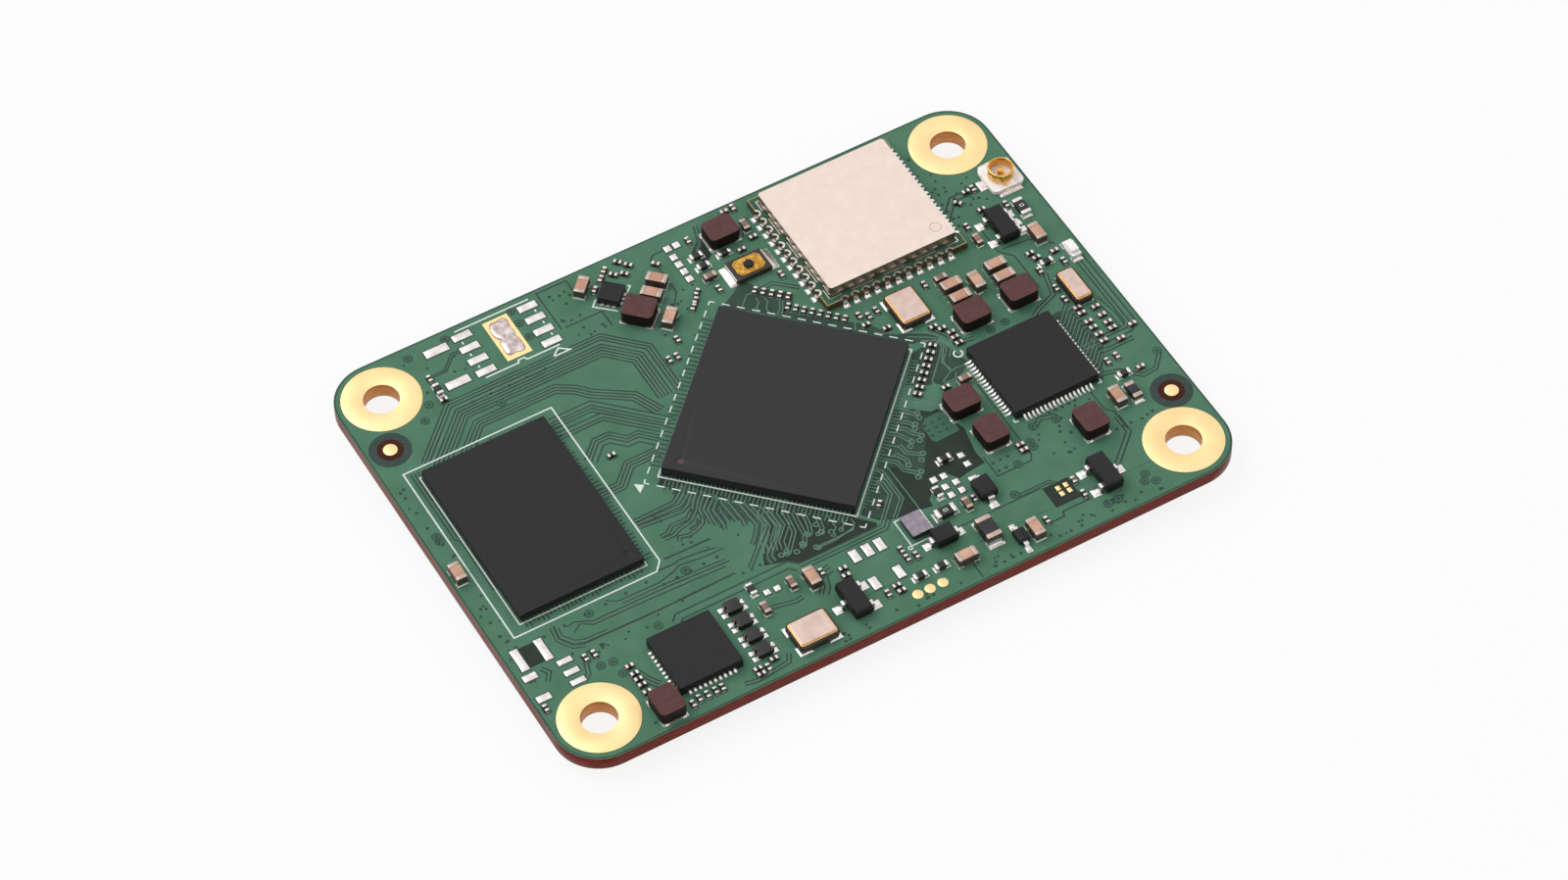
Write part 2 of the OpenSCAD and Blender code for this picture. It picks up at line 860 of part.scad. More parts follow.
transistor = [2.9, 1.5, 1.05, 0.12];
diode = [1.75, 1.3, 0.9, 0.12];
guard = [1.2, 0.85, 0.6, 0.1];

module transistor_bodies() {
    color("#2b2b2e")
        put(transistors_at)
            moulded_body(transistor[0], transistor[1], transistor[2], transistor[3]);
}

module transistor_leads() {
    color("#d5d5d2")
        for (p = transistors_at)
            translate(placed(p, seat))
                for (row = [[180, p[3]], [0, p[4]]], y = row[1])
                    translate([0, y, 0])
                        rotate(row[0])
                            bent_lead(transistor[1], transistor[2], transistor[3], 0.42);
}

module diode_bodies() {
    color("#2b2b2e") {
        put(diodes_at) moulded_body(diode[1], diode[0], diode[2], diode[3]);
        put([guard_at]) moulded_body(guard[1], guard[0], guard[2], guard[3]);
    }
}

module diode_leads() {
    color("#d5d5d2")
        for (turn = [0, 180]) {
            put(diodes_at) rotate(turn) bent_lead(diode[0], diode[2], diode[3], 0.5);
            put([guard_at]) rotate(turn) bent_lead(guard[0], guard[2], guard[3], 0.35);
        }
}

module diode_lands(l, w) {
    for (x = [-1, 1])
        translate([x * (l / 2 + 0.5), 0, -land_t])
            slab(0.6, w, land_t);
}

// Indicator lamp

module lamp_body() {
    color("#ece9e0")
        put([lamp_at]) {
            chip_middle(link_chip);
            translate([0, 0, 0.3])
                slab(link_chip[0] - 2 * link_chip[3], 0.66, 0.4);
        }
}

module lamp_ends() {
    color("#d9dcdc")
        put([lamp_at])
            chip_ends(link_chip);
}

// Antenna socket: a white base, a gold shell with two ground straps, and a centre pin with its own strap

base_side = 2.7;
base_h = 0.35;
strap_t = 0.12;
pin_r = 0.25;

module socket_base() {
    color("#efe9df")
        put([socket_at])
            difference() {
                round_slab(base_side, base_side, base_h, 0.35);
                translate([0, 0, -eps])
                    cylinder(r = pin_r, h = 1);
                translate([-base_side, -pin_r, -eps])
                    cube([base_side + pin_r, 2 * pin_r, strap_t + eps]);
            }
}

module socket_shell() {
    outer = socket_d / 2;
    color("#dcb06a")
        put([socket_at]) {
            rotate_extrude()
                polygon([
                    [outer - 0.14, base_h], [outer, base_h], [outer, socket_h - 0.06],
                    [outer - 0.06, socket_h], [outer - 0.14, socket_h]
                ]);
            for (turn = [0, 180])
                rotate(turn) {
                    translate([-0.5, outer - 0.14, base_h])
                        cube([1, base_side / 2 - outer + 0.14 + strap_t, strap_t]);
                    translate([-0.5, base_side / 2, 0])
                        cube([1, strap_t, base_h + strap_t]);
                    translate([-0.9, base_side / 2, 0])
                        cube([1.8, 0.35, strap_t]);
                }
        }
}

module socket_pin() {
    color("#dcb06a")
        put([socket_at]) {
            cylinder(r = pin_r, h = socket_h - 0.3);
            translate([-base_side / 2 - 0.45, -pin_r, 0])
                cube([base_side / 2 + 0.45, 2 * pin_r, strap_t]);
        }
}

module socket_lands() {
    for (y = [-1, 1])
        translate([0, y * (base_side / 2 + 0.15), -land_t])
            slab(2, 0.5, land_t);
    translate([-base_side / 2 - 0.25, 0, -land_t])
        slab(0.65, 1, land_t);
}

// Push button: a frame with a round well, a snap dome in it, a film over the well and a nub on the dome

frame_l = 2.9;
frame_w = 2;
well_r = 0.75;
floor_t = 0.12;
dome_t = 0.04;
dome_rise = nub_travel + 0.08;
film_t = 0.05;

module button_frame() {
    color("#332a24")
        put([button_at])
            difference() {
                slab(frame_l, frame_w, button_h);
                translate([0, 0, floor_t])
                    cylinder(r = well_r, h = 1);
            }
}

module button_terminals() {
    color("#d9dcdc")
        put([button_at])
            for (turn = [0, 180])
                rotate(turn) {
                    translate([frame_l / 2, -0.9, 0])
                        cube([0.55, 1.8, 0.12]);
                    translate([frame_l / 2, -0.9, 0])
                        cube([0.1, 1.8, 0.38]);
                }
}

// The dome is a spherical cap: its rim stands on the floor of the well
module button_dome() {
    rim = well_r - 0.05;
    radius = (rim * rim + dome_rise * dome_rise) / (2 * dome_rise);
    color("#c8b89a")
        put([button_at], seat + floor_t)
            difference() {
                translate([0, 0, dome_rise - radius])
                    sphere(r = radius);
                translate([0, 0, dome_rise - radius])
                    sphere(r = radius - dome_t);
                translate([0, 0, -10])
                    slab(20, 20, 10);
            }
}

module button_film() {
    l = 2.3;
    w = 1.55;
    cut = 0.3;
    color("#e6a92f")
        put([button_at], seat + button_h)
            linear_extrude(height = film_t)
                difference() {
                    polygon([
                        [cut - l / 2, -w / 2], [l / 2 - cut, -w / 2],
                        [l / 2, cut - w / 2], [l / 2, w / 2 - cut],
                        [l / 2 - cut, w / 2], [cut - l / 2, w / 2],
                        [-l / 2, w / 2 - cut], [-l / 2, cut - w / 2]
                    ]);
                    circle(r = nub_d / 2 + 0.04);
                }
}

module button_nub() {
    nub_z = floor_t + dome_rise;
    color("#17171a")
        put([button_at], seat + nub_z)
            cylinder(d = nub_d, h = button_h + film_t + 0.12 - nub_z);
}

module button_lands() {
    for (x = [-1, 1])
        translate([x * (frame_l / 2 + 0.25), 0, -land_t])
            slab(0.75, 2, land_t);
}

// Underside: two plug connectors, a flash package and nothing lower than the plugs

module connector_housings() {
    color("#2a2622")
        for (p = connectors_at)
            translate([p[0], p[1], 0])
                difference() {
                    slab(connector_l, connector_w, connector_h);
                    translate([0, 0, -eps])
                        slab(connector_l - 1, connector_w - 1.3, connector_h - 0.25 + eps);
                }
}

module connector_contacts() {
    color("#d8b878")
        for (p = connectors_at, turn = [0, 180], i = [0:connector_pins - 1])
            translate([p[0] + (i - (connector_pins - 1) / 2) * connector_pitch, p[1], 0])
                rotate(turn)
                    translate([-0.09, connector_w / 2, 0])
                        rotate([90, 0, 90])
                            linear_extrude(height = 0.18)
                                polygon([
                                    [0, 0.12], [0.07, 0.12], [0.07, connector_h - 0.12],
                                    [0.5, connector_h - 0.12], [0.5, connector_h], [0, connector_h]
                                ]);
}

module flash_chip() {
    color("#26262a")
        put_under([flash_at], 0) {
            translate([0, 0, ball_h])
                slab(flash_l, flash_w, flash_h);
            ball_rows(14, 14, 0.5);
        }
}

circuit_board();
hole_platings();
gold_lands();
bare_lands();
part_lands();
processor_carrier();
processor_mould();
processor_balls();
memory_carrier();
memory_mould();
memory_balls();
radio_board();
radio_joints();
radio_chip();
shield_frame();
shield_lid();
power_chip();
power_chip_leads();
network_chip();
network_chip_leads();
converter_chip();
converter_chip_leads();
sensor_chip();
sensor_chip_bumps();
coil_bodies();
coil_terminals();
large_capacitor_bodies();
large_capacitor_ends();
small_capacitor_bodies();
small_capacitor_ends();
resistor_bodies();
resistor_ends();
tiny_capacitor_bodies();
tiny_capacitor_ends();
tiny_resistor_bodies();
tiny_resistor_ends();
bead_bodies();
bead_ends();
line_filter_bodies();
line_filter_terminals();
crystal_bases();
crystal_rims();
crystal_lids();
transistor_bodies();
transistor_leads();
diode_bodies();
diode_leads();
lamp_body();
lamp_ends();
socket_base();
socket_shell();
socket_pin();
button_frame();
button_terminals();
button_dome();
button_film();
button_nub();
connector_housings();
connector_contacts();
flash_chip();
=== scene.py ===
"""Looks of a system on module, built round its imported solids.

Plan sizes are in mm, Blender's are in metres.
"""

import math
import random

import bpy
import numpy as np
from mathutils import Matrix, Vector


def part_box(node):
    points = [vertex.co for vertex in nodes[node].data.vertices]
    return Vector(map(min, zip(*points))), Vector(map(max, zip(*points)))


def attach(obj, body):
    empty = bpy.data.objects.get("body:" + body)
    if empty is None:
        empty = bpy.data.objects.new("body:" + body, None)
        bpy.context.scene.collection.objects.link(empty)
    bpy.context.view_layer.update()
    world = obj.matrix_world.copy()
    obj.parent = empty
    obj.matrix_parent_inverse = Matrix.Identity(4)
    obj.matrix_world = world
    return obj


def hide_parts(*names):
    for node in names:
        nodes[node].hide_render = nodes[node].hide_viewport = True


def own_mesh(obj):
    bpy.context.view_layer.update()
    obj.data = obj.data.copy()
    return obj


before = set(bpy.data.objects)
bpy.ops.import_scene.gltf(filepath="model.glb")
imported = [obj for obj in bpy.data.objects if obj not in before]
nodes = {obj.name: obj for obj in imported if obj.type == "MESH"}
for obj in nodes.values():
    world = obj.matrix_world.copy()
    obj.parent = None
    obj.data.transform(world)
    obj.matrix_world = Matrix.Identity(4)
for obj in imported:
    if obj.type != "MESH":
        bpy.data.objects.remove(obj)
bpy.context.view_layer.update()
random.seed(7)

MM = 0.001
BODY = "module"


def node_box(name):
    """Lowest and highest corner of a node, in mm."""
    low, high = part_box(name)
    return low / MM, high / MM


def node_middle(name):
    """Middle of a node in plan, in mm."""
    low, high = node_box(name)
    return (low.x + high.x) / 2, (low.y + high.y) / 2


BOARD_LOW, BOARD_HIGH = node_box("circuit_board")
BOARD_TOP = BOARD_HIGH.z
LAND_TOP = node_box("bare_lands")[1].z
CORNER_R = 3.5

# Heights of the printed and etched layers above the board
PATCH_Z = 0.003
GAP_Z = 0.005
TRACK_Z = 0.008
VIA_Z = 0.011
SILK_Z = 0.016

# Packages that the printed frames and the track ends follow
PROCESSOR = (15.5, 14.4)
PROCESSOR_AT = node_middle("processor_mould")
PROCESSOR_TURN = math.radians(45)
MEMORY_LOW, MEMORY_HIGH = node_box("memory_mould")
RADIO_LOW, RADIO_HIGH = node_box("radio_board")
POWER_AT = node_middle("power_chip")


# Plan geometry

def shifted(path, distance):
    """A path moved sideways by a distance, to its left where that is positive, with mitred corners."""
    normals = []
    for (x0, y0), (x1, y1) in zip(path, path[1:]):
        length = math.hypot(x1 - x0, y1 - y0)
        normals.append(((y0 - y1) / length, (x1 - x0) / length))
    moved = []
    for i, (x, y) in enumerate(path):
        a = normals[max(i - 1, 0)]
        b = normals[min(i, len(normals) - 1)]
        share = distance / (1 + a[0] * b[0] + a[1] * b[1])
        moved.append((x + (a[0] + b[0]) * share, y + (a[1] + b[1]) * share))
    return moved


def on_processor(u, v):
    """Plan point of a place on the turned processor package."""
    c, s = math.cos(PROCESSOR_TURN), math.sin(PROCESSOR_TURN)
    return PROCESSOR_AT[0] + u * c - v * s, PROCESSOR_AT[1] + u * s + v * c


def box_outline(low, high, margin):
    """Corners of a box in plan, grown by a margin, back at the first corner."""
    x0, y0 = low[0] - margin, low[1] - margin
    x1, y1 = high[0] + margin, high[1] + margin
    return [(x0, y0), (x1, y0), (x1, y1), (x0, y1), (x0, y0)]


def round_path(x, y, radius, sides, start=0.0, turn=360.0):
    """Points of an arc in plan."""
    angles = [math.radians(start + turn * i / sides) for i in range(sides + 1)]
    return [(x + radius * math.cos(a), y + radius * math.sin(a)) for a in angles]


def board_outline(inset):
    """The board's outline with its round corners, moved in, back at the first point."""
    half_x = BOARD_HIGH.x - CORNER_R
    half_y = BOARD_HIGH.y - CORNER_R
    path = []
    for turn, (sx, sy) in enumerate([(1, 1), (-1, 1), (-1, -1), (1, -1)]):
        path += round_path(sx * half_x, sy * half_y, CORNER_R - inset, 8, 90 * turn, 90)
    return path + path[:1]


# Mesh building

def make_piece(name, points, faces, finish, smooth=False):
    """A new piece from points in mm, riding on the module."""
    mesh = bpy.data.meshes.new(name)
    mesh.from_pydata([Vector(p) * MM for p in points], [], faces)
    mesh.validate()
    mesh.update()
    for face in mesh.polygons:
        face.use_smooth = smooth
    piece = bpy.data.objects.new(name, mesh)
    bpy.context.scene.collection.objects.link(piece)
    mesh.materials.append(finish)
    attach(piece, BODY)
    return piece


class Layer:
    """Flat shapes in plan, in mm, collected into one thin piece."""

    STEP = 0.0002
    BITE = 0.003

    def __init__(self):
        self.points = []
        self.faces = []
        self.shapes = 0

    def collect(self, points):
        """Adds points, each shape a hair above the one before, so that none lies in another's plane."""
        lift = self.STEP * (self.shapes % 9)
        self.shapes += 1
        self.points += [(x, y, lift) for x, y in points]

    def area(self, outline):
        start = len(self.points)
        turns = zip(outline, outline[1:] + outline[:1])
        if sum(x0 * y1 - x1 * y0 for (x0, y0), (x1, y1) in turns) < 0:
            outline = outline[::-1]
        self.collect(outline)
        self.faces.append(tuple(range(start, start + len(outline))))

    def strip(self, path, width):
        start = len(self.points)
        count = len(path)
        self.collect(shifted(path, -width / 2) + shifted(path, width / 2))
        for i in range(count - 1):
            a = start + i
            self.faces.append((a, a + 1, a + count + 1, a + count))

    def bundle(self, path, count, pitch, width):
        """Parallel strips, to the left of the path where the pitch is positive."""
        for i in range(count):
            self.strip(shifted(path, i * pitch), width)

    def ring(self, x, y, radius, width, sides=20):
        self.strip(round_path(x, y, radius, sides), width)

    def disc(self, x, y, radius, sides=16):
        self.area(round_path(x, y, radius, sides)[:-1])

    def piece(self, name, height, finish, slot, depth=None, under=False):
        """The piece with its face at a height above or below the board, reaching into what carries it."""
        if under:
            points = [(x, y, BOARD_LOW.z - height - lift) for x, y, lift in self.points]
            faces = [face[::-1] for face in self.faces]
        else:
            points = [(x, y, BOARD_TOP + height + lift) for x, y, lift in self.points]
            faces = self.faces
        piece = make_piece(name, points, faces, finish)
        thickness = piece.modifiers.new("thickness", "SOLIDIFY")
        thickness.thickness = (depth or 2 * height + self.BITE) * MM
        thickness.offset = -1
        return piece


class Solder:
    """Reflowed solder: fillets against metal ends and pillows on lands, collected into one piece."""

    STEPS = 5
    SINK = 0.01

    def __init__(self):
        self.points = []
        self.faces = []

    def fillet(self, foot, outward, width, reach, height, floor):
        """Concave wedge from a metal face at foot down to the board, narrower towards its sides."""
        side = (-outward[1], outward[0])
        columns = [(-0.5, 0.55), (-0.38, 0.9), (0, 1), (0.38, 0.9), (0.5, 0.55)]
        start = len(self.points)
        ring = self.STEPS + 2
        for across, scale in columns:
            for i in range(self.STEPS + 1):
                angle = math.pi / 2 * i / self.STEPS
                out = reach * scale * (1 - math.cos(angle)) - self.SINK
                up = height * (0.4 + 0.6 * scale) * (1 - math.sin(angle))
                self.points.append(self.spot(foot, outward, side, out, across * width, floor + up))
            self.points.append(self.spot(foot, outward, side, -self.SINK, across * width, floor))
        for column in range(len(columns) - 1):
            a = start + column * ring
            b = a + ring
            for i in range(ring):
                j = (i + 1) % ring
                self.faces.append((a + i, a + j, b + j, b + i))
        last = start + (len(columns) - 1) * ring
        self.faces.append(tuple(start + ring - 1 - i for i in range(ring)))
        self.faces.append(tuple(last + i for i in range(ring)))

    @staticmethod
    def spot(foot, outward, side, out, across, z):
        return (
            foot[0] + outward[0] * out + side[0] * across,
            foot[1] + outward[1] * out + side[1] * across,
            z,
        )

    def pillow(self, middle, along, half_l, half_w, height, floor):
        """Crowned pad of solder on a land."""
        side = (-along[1], along[0])
        start = len(self.points)
        count = 9
        ticks = [math.sin(math.pi / 2 * (2 * i / (count - 1) - 1)) for i in range(count)]
        for a in ticks:
            for b in ticks:
                crown = (1 - a ** 6) * (1 - b ** 6)
                uneven = 1 + 0.15 * math.sin(9 * a + 5 * b + middle[0] * 3)
                top = floor + height * crown * uneven
                self.points.append(self.spot(middle, along, side, a * half_l, b * half_w, top))
        for i in range(count - 1):
            for j in range(count - 1):
                k = start + i * count + j
                self.faces.append((k, k + count, k + count + 1, k + 1))
        near = [start + i for i in range(count)]
        right = [start + i * count + count - 1 for i in range(1, count)]
        far = [start + (count - 1) * count + i for i in range(count - 2, -1, -1)]
        left = [start + i * count for i in range(count - 2, 0, -1)]
        self.faces.append(tuple(near + right + far + left))

    def run(self, middle, half_l, half_w, height, floor):
        """Lump of solder with an uneven round outline."""
        start = len(self.points)
        sides, rings = 28, 7
        self.points.append((middle[0], middle[1], floor + height))
        for i in range(1, rings + 1):
            share = i / rings
            for j in range(sides):
                angle = 2 * math.pi * j / sides
                c, s = math.cos(angle), math.sin(angle)
                square = (c ** 4 + s ** 4) ** -0.25
                uneven = 1 + 0.06 * math.sin(3 * angle + middle[1])
                uneven += 0.04 * math.sin(5 * angle + 2 * middle[1])
                crown = (1 - share ** 4) * (1 + 0.2 * math.sin(3 * c * share + 2 * s * share + middle[1]))
                reach = share * square * uneven
                x, y = middle[0] + half_l * c * reach, middle[1] + half_w * s * reach
                self.points.append((x, y, floor + height * crown))
        for j in range(sides):
            k = (j + 1) % sides
            self.faces.append((start, start + 1 + j, start + 1 + k))
            for i in range(rings - 1):
                a = start + 1 + i * sides
                self.faces.append((a + j, a + sides + j, a + sides + k, a + k))
        last = start + 1 + (rings - 1) * sides
        self.faces.append(tuple(last + sides - 1 - j for j in range(sides)))

    def piece(self, name, finish):
        return make_piece(name, self.points, self.faces, finish, smooth=True)


def islands(name):
    """Corners of each separate solid of a node, in mm."""
    mesh = nodes[name].data
    places = np.array([v.co for v in mesh.vertices]) / MM
    keys = {}
    index = [keys.setdefault(tuple(p), len(keys)) for p in np.round(places, 3).tolist()]
    parent = list(range(len(keys)))

    def root(i):
        while parent[i] != i:
            parent[i] = parent[parent[i]]
            i = parent[i]
        return i

    for face in mesh.polygons:
        first = root(index[face.vertices[0]])
        for v in face.vertices[1:]:
            parent[root(index[v])] = first
    groups = {}
    for i, place in zip(index, places):
        groups.setdefault(root(i), []).append(place)
    return [np.array(g) for g in groups.values()]


def middle_of(points):
    return (points.min(0) + points.max(0)) / 2


def facing(points, centre):
    """Direction of a metal end away from its body in plan, rounded to the nearest 45 degrees."""
    away = middle_of(points)[:2] - centre[:2]
    turn = round(math.atan2(away[1], away[0]) / (math.pi / 4)) * math.pi / 4
    return math.cos(turn), math.sin(turn)


def square_facing(points, centre):
    """Direction of a lead away from a square package, along the nearer axis."""
    away = middle_of(points)[:2] - centre[:2]
    if abs(away[0]) > abs(away[1]):
        return (math.copysign(1, away[0]), 0)
    return (0, math.copysign(1, away[1]))


def reach_of(points, outward):
    """Furthest point of a solid in a direction, its half width and its middle across, in plan."""
    out = points[:, 0] * outward[0] + points[:, 1] * outward[1]
    across = points[:, 1] * outward[0] - points[:, 0] * outward[1]
    mid = (across.max() + across.min()) / 2
    foot = (outward[0] * out.max() - outward[1] * mid, outward[1] * out.max() + outward[0] * mid)
    return foot, (across.max() - across.min()) / 2


# Materials

# Part of a noise's range that its tones and roughness are spread over
NOISE_LOW = 0.3
NOISE_HIGH = 0.7
# Upward share of a face's normal above which the face is level
LEVEL_SHARE = 0.35
BUMP_STRENGTH = 0.5


def linear(r, g, b):
    """Colour for a shader from its 0 to 255 screen values."""
    def channel(c):
        c /= 255
        return c / 12.92 if c <= 0.04045 else ((c + 0.055) / 1.055) ** 2.4

    return channel(r), channel(g), channel(b), 1


def feed(tree, node, inputs):
    """Links each input of a node to a socket, or sets it to a value."""
    for key, value in inputs.items():
        if isinstance(value, bpy.types.NodeSocket):
            tree.links.new(value, node.inputs[key])
        else:
            node.inputs[key].default_value = value


def add(tree, kind, inputs=None, **values):
    """A new node with its values set and its inputs fed."""
    node = tree.nodes.new(kind)
    for key, value in values.items():
        setattr(node, key, value)
    feed(tree, node, inputs or {})
    return node


def start_material(name):
    material = bpy.data.materials.new(name)
    material.use_nodes = True
    tree = material.node_tree
    return material, tree, tree.nodes["Principled BSDF"]


def noise(tree, grain, detail=3.0, stretch=(1, 1, 1)):
    """Noise with features of about the grain's size in mm."""
    place = add(tree, "ShaderNodeTexCoord")
    mapping = add(tree, "ShaderNodeMapping", {"Vector": place.outputs["Object"], "Scale": stretch})
    cloud = add(tree, "ShaderNodeTexNoise", {
        "Vector": mapping.outputs["Vector"],
        "Scale": 1 / (grain * MM),
        "Detail": detail,
    })
    return cloud.outputs["Fac"]


def ramp(tree, amount, *stops):
    """Colours between two stops, each a position and a colour."""
    node = add(tree, "ShaderNodeValToRGB", {"Fac": amount})
    for element, (position, colour) in zip(node.color_ramp.elements, stops):
        element.position = position
        element.color = colour
    return node.outputs["Color"]


def tones(tree, amount, dark, light):
    """Two tones over the middle of a noise."""
    return ramp(tree, amount, (NOISE_LOW, linear(*dark)), (NOISE_HIGH, linear(*light)))


def level_faces(tree):
    """1 on level faces and 0 on upright ones."""
    geometry = add(tree, "ShaderNodeNewGeometry")
    parts = add(tree, "ShaderNodeSeparateXYZ", {"Vector": geometry.outputs["True Normal"]})
    size = add(tree, "ShaderNodeMath", {0: parts.outputs["Z"]}, operation="ABSOLUTE")
    test = {0: size.outputs["Value"], 1: LEVEL_SHARE}
    return add(tree, "ShaderNodeMath", test, operation="GREATER_THAN").outputs["Value"]


def choose(tree, test, off, on):
    """The on colour where the test is 1."""
    return add(tree, "ShaderNodeMix", {"Factor": test, 6: off, 7: on}, data_type="RGBA").outputs[2]


def make_finish(name, paint, grain, rough, metal=0.0, specular=0.5, depth=0.004, fine=0.03):
    """Material with its own grain in roughness and bump. Its colour is what paint makes of the grain."""
    material, tree, bsdf = start_material(name)
    cloud = noise(tree, grain)
    roughness = add(tree, "ShaderNodeMapRange", {
        "Value": cloud,
        "From Min": NOISE_LOW,
        "From Max": NOISE_HIGH,
        "To Min": rough[0],
        "To Max": rough[1],
    })
    bump = add(tree, "ShaderNodeBump", {
        "Height": noise(tree, fine, 2.0),
        "Strength": BUMP_STRENGTH,
        "Distance": depth * MM,
    })
    feed(tree, bsdf, {
        "Base Color": paint(tree, cloud),
        "Roughness": roughness.outputs["Result"],
        "Normal": bump.outputs["Normal"],
        "Metallic": metal,
    })
    bsdf.inputs["Specular IOR Level"].default_value = specular
    return material


def finish(name, dark, light, grain, rough, **more):
    """Material of two close tones."""
    def paint(tree, cloud):
        return tones(tree, cloud, dark, light)

    return make_finish(name, paint, grain, rough, **more)


def two_sided_finish(name, top, side, grain, rough, depth=0.006, fine=0.05, **more):
    """Material with one pair of tones on level faces and another on upright ones. Where the upright pair is a
    darker copy of the level one, it is painted shade on the sides.
    """
    def paint(tree, cloud):
        streaks = noise(tree, min(grain, 1.0), 4.0, (1, 1, 6))
        return choose(tree, level_faces(tree), tones(tree, streaks, *side), tones(tree, cloud, *top))

    return make_finish(name, paint, grain, rough, depth=depth, fine=fine, **more)


def split_finish(name, low, high, level, grain, rough, **more):
    """Material with one pair of tones below a height in mm and another above it."""
    def paint(tree, cloud):
        place = add(tree, "ShaderNodeTexCoord")
        parts = add(tree, "ShaderNodeSeparateXYZ", {"Vector": place.outputs["Object"]})
        test = {0: parts.outputs["Z"], 1: level * MM}
        above = add(tree, "ShaderNodeMath", test, operation="GREATER_THAN").outputs["Value"]
        return choose(tree, above, tones(tree, cloud, *low), tones(tree, cloud, *high))

    return make_finish(name, paint, grain, rough, **more)


def mask_finish(name, dark, light, grain, rough=(0.3, 0.42)):
    """Solder mask, or what shows through it."""
    return finish(name, dark, light, grain, rough, specular=MASK_GLOSS)


# Gloss of the mask, the same on all of its layers
MASK_GLOSS = 0.1

MASK = two_sided_finish(
    "board_mask", [(75, 116, 92), (85, 127, 103)], [(90, 23, 11), (126, 41, 23)], 2.2, (0.3, 0.42),
    specular=MASK_GLOSS,
)
TRACK_GAP = mask_finish("track_gap", (54, 65, 60), (63, 88, 76), 2.4)
MASK_DARK = mask_finish("mask_dark", (44, 53, 48), (49, 59, 54), 0.9)
MASK_TRACK = mask_finish("mask_track", (88, 121, 104), (102, 136, 117), 0.7)
# Mid mask tone, used for painted shade on the mask
MASK_MID = mask_finish("mask_mid", (53, 70, 62), (60, 82, 71), 1.2)
MASK_VIA = mask_finish("mask_via", (66, 102, 84), (70, 108, 89), 0.5)
RING_RED = mask_finish("target_red", (58, 26, 20), (72, 34, 26), 0.3, (0.45, 0.6))
RING_GREY = mask_finish("target_grey", (58, 71, 67), (63, 77, 73), 0.4, (0.35, 0.5))
INK = finish("printed_ink", (214, 224, 216), (238, 242, 238), 0.25, (0.55, 0.75), specular=0.3)
GOLD = finish("gold", (249, 217, 158), (252, 225, 170), 2.0, (0.42, 0.5), metal=1.0, depth=0.001)
# Gold plating; the darker, warmer tones on the hole walls are painted shade.
HOLE_GOLD = two_sided_finish(
    "hole_gold", [(249, 217, 158), (252, 225, 170)], [(172, 112, 62), (202, 142, 88)], 2.0, (0.42, 0.5),
    depth=0.001, metal=1.0,
)
RIM_GOLD = finish("rim_gold", (216, 164, 92), (236, 190, 120), 0.4, (0.3, 0.4), metal=1.0, depth=0.002)
GOLD_DEEP = finish("gold_deep", (206, 146, 62), (232, 178, 92), 0.4, (0.22, 0.34), metal=1.0, depth=0.002)
TIN = finish("tin", (218, 212, 207), (240, 236, 233), 0.5, (0.26, 0.38), metal=1.0, depth=0.001, fine=0.1)
LAND_TIN = finish(
    "land_tin", (232, 226, 223), (248, 245, 243), 0.5, (0.3, 0.42), metal=0.5, depth=0.001, fine=0.1
)
# Tiny part ends: the darker upright tones are painted shade.
TINY_END = two_sided_finish(
    "tiny_end", [(216, 204, 198), (238, 230, 226)], [(122, 108, 100), (156, 142, 132)], 0.3, (0.3, 0.42),
    metal=0.8,
)
SOLDER = finish(
    "solder", (222, 214, 210), (246, 243, 241), 0.6, (0.2, 0.32), metal=1.0, depth=0.002, fine=0.2
)
RUN = finish("solder_run", (170, 150, 146), (236, 226, 223), 0.5, (0.22, 0.36), metal=1.0, fine=0.25)
# Metal ends of the chips: the darker upright tones are painted shade on their end faces.
CHIP_END = two_sided_finish(
    "chip_end", [(178, 156, 146), (204, 184, 174)], [(84, 74, 68), (118, 104, 96)], 0.15, (0.35, 0.5),
    metal=0.7,
)
# Nickel silver: the darker upright tones are painted shade on the sides.
NICKEL = two_sided_finish(
    "nickel_silver", [(230, 212, 202), (236, 218, 208)], [(122, 110, 96), (152, 138, 122)],
    0.6, (0.38, 0.44), depth=0.002, metal=1.0,
)
# Joint solder: the darker upright tones are painted shade.
JOINT = two_sided_finish(
    "joint", [(222, 220, 216), (244, 242, 240)], [(96, 82, 72), (150, 134, 122)], 0.2, (0.3, 0.45), metal=1.0
)
# Radio board: mask on top; the upright faces carry the laminate's edge colour, darkened as painted shade.
RADIO_LAMINATE = two_sided_finish(
    "radio_laminate", [(56, 90, 72), (64, 100, 80)], [(72, 60, 36), (98, 82, 52)], 0.6, (0.35, 0.5),
    specular=0.15,
)
SOCKET_METAL = split_finish(
    "socket_metal", [(224, 206, 198), (244, 230, 224)], [(216, 158, 72), (240, 192, 112)],
    LAND_TOP + 0.49, 0.4, (0.22, 0.34), metal=1.0, depth=0.003, fine=0.05,
)
LID = finish("crystal_lid", (206, 180, 170), (222, 198, 188), 0.7, (0.36, 0.48), metal=1.0, depth=0.002)
MOULD = finish("mould", (20, 20, 23), (27, 27, 30), 0.6, (0.5, 0.62), specular=0.42, depth=0.008, fine=0.07)
MOULD_DARK = finish(
    "mould_dark", (10, 10, 11), (16, 16, 17), 0.5, (0.52, 0.64), specular=0.36, depth=0.01, fine=0.06
)
CARRIER = finish("carrier", (14, 20, 17), (22, 30, 25), 0.4, (0.45, 0.6), specular=0.3)
# Sensor die: the dark blue upright faces are painted shade.
SILICON = two_sided_finish(
    "silicon", [(128, 120, 130), (160, 151, 160)], [(30, 32, 42), (46, 48, 60)], 0.4, (0.25, 0.4),
    depth=0.002, metal=0.4,
)
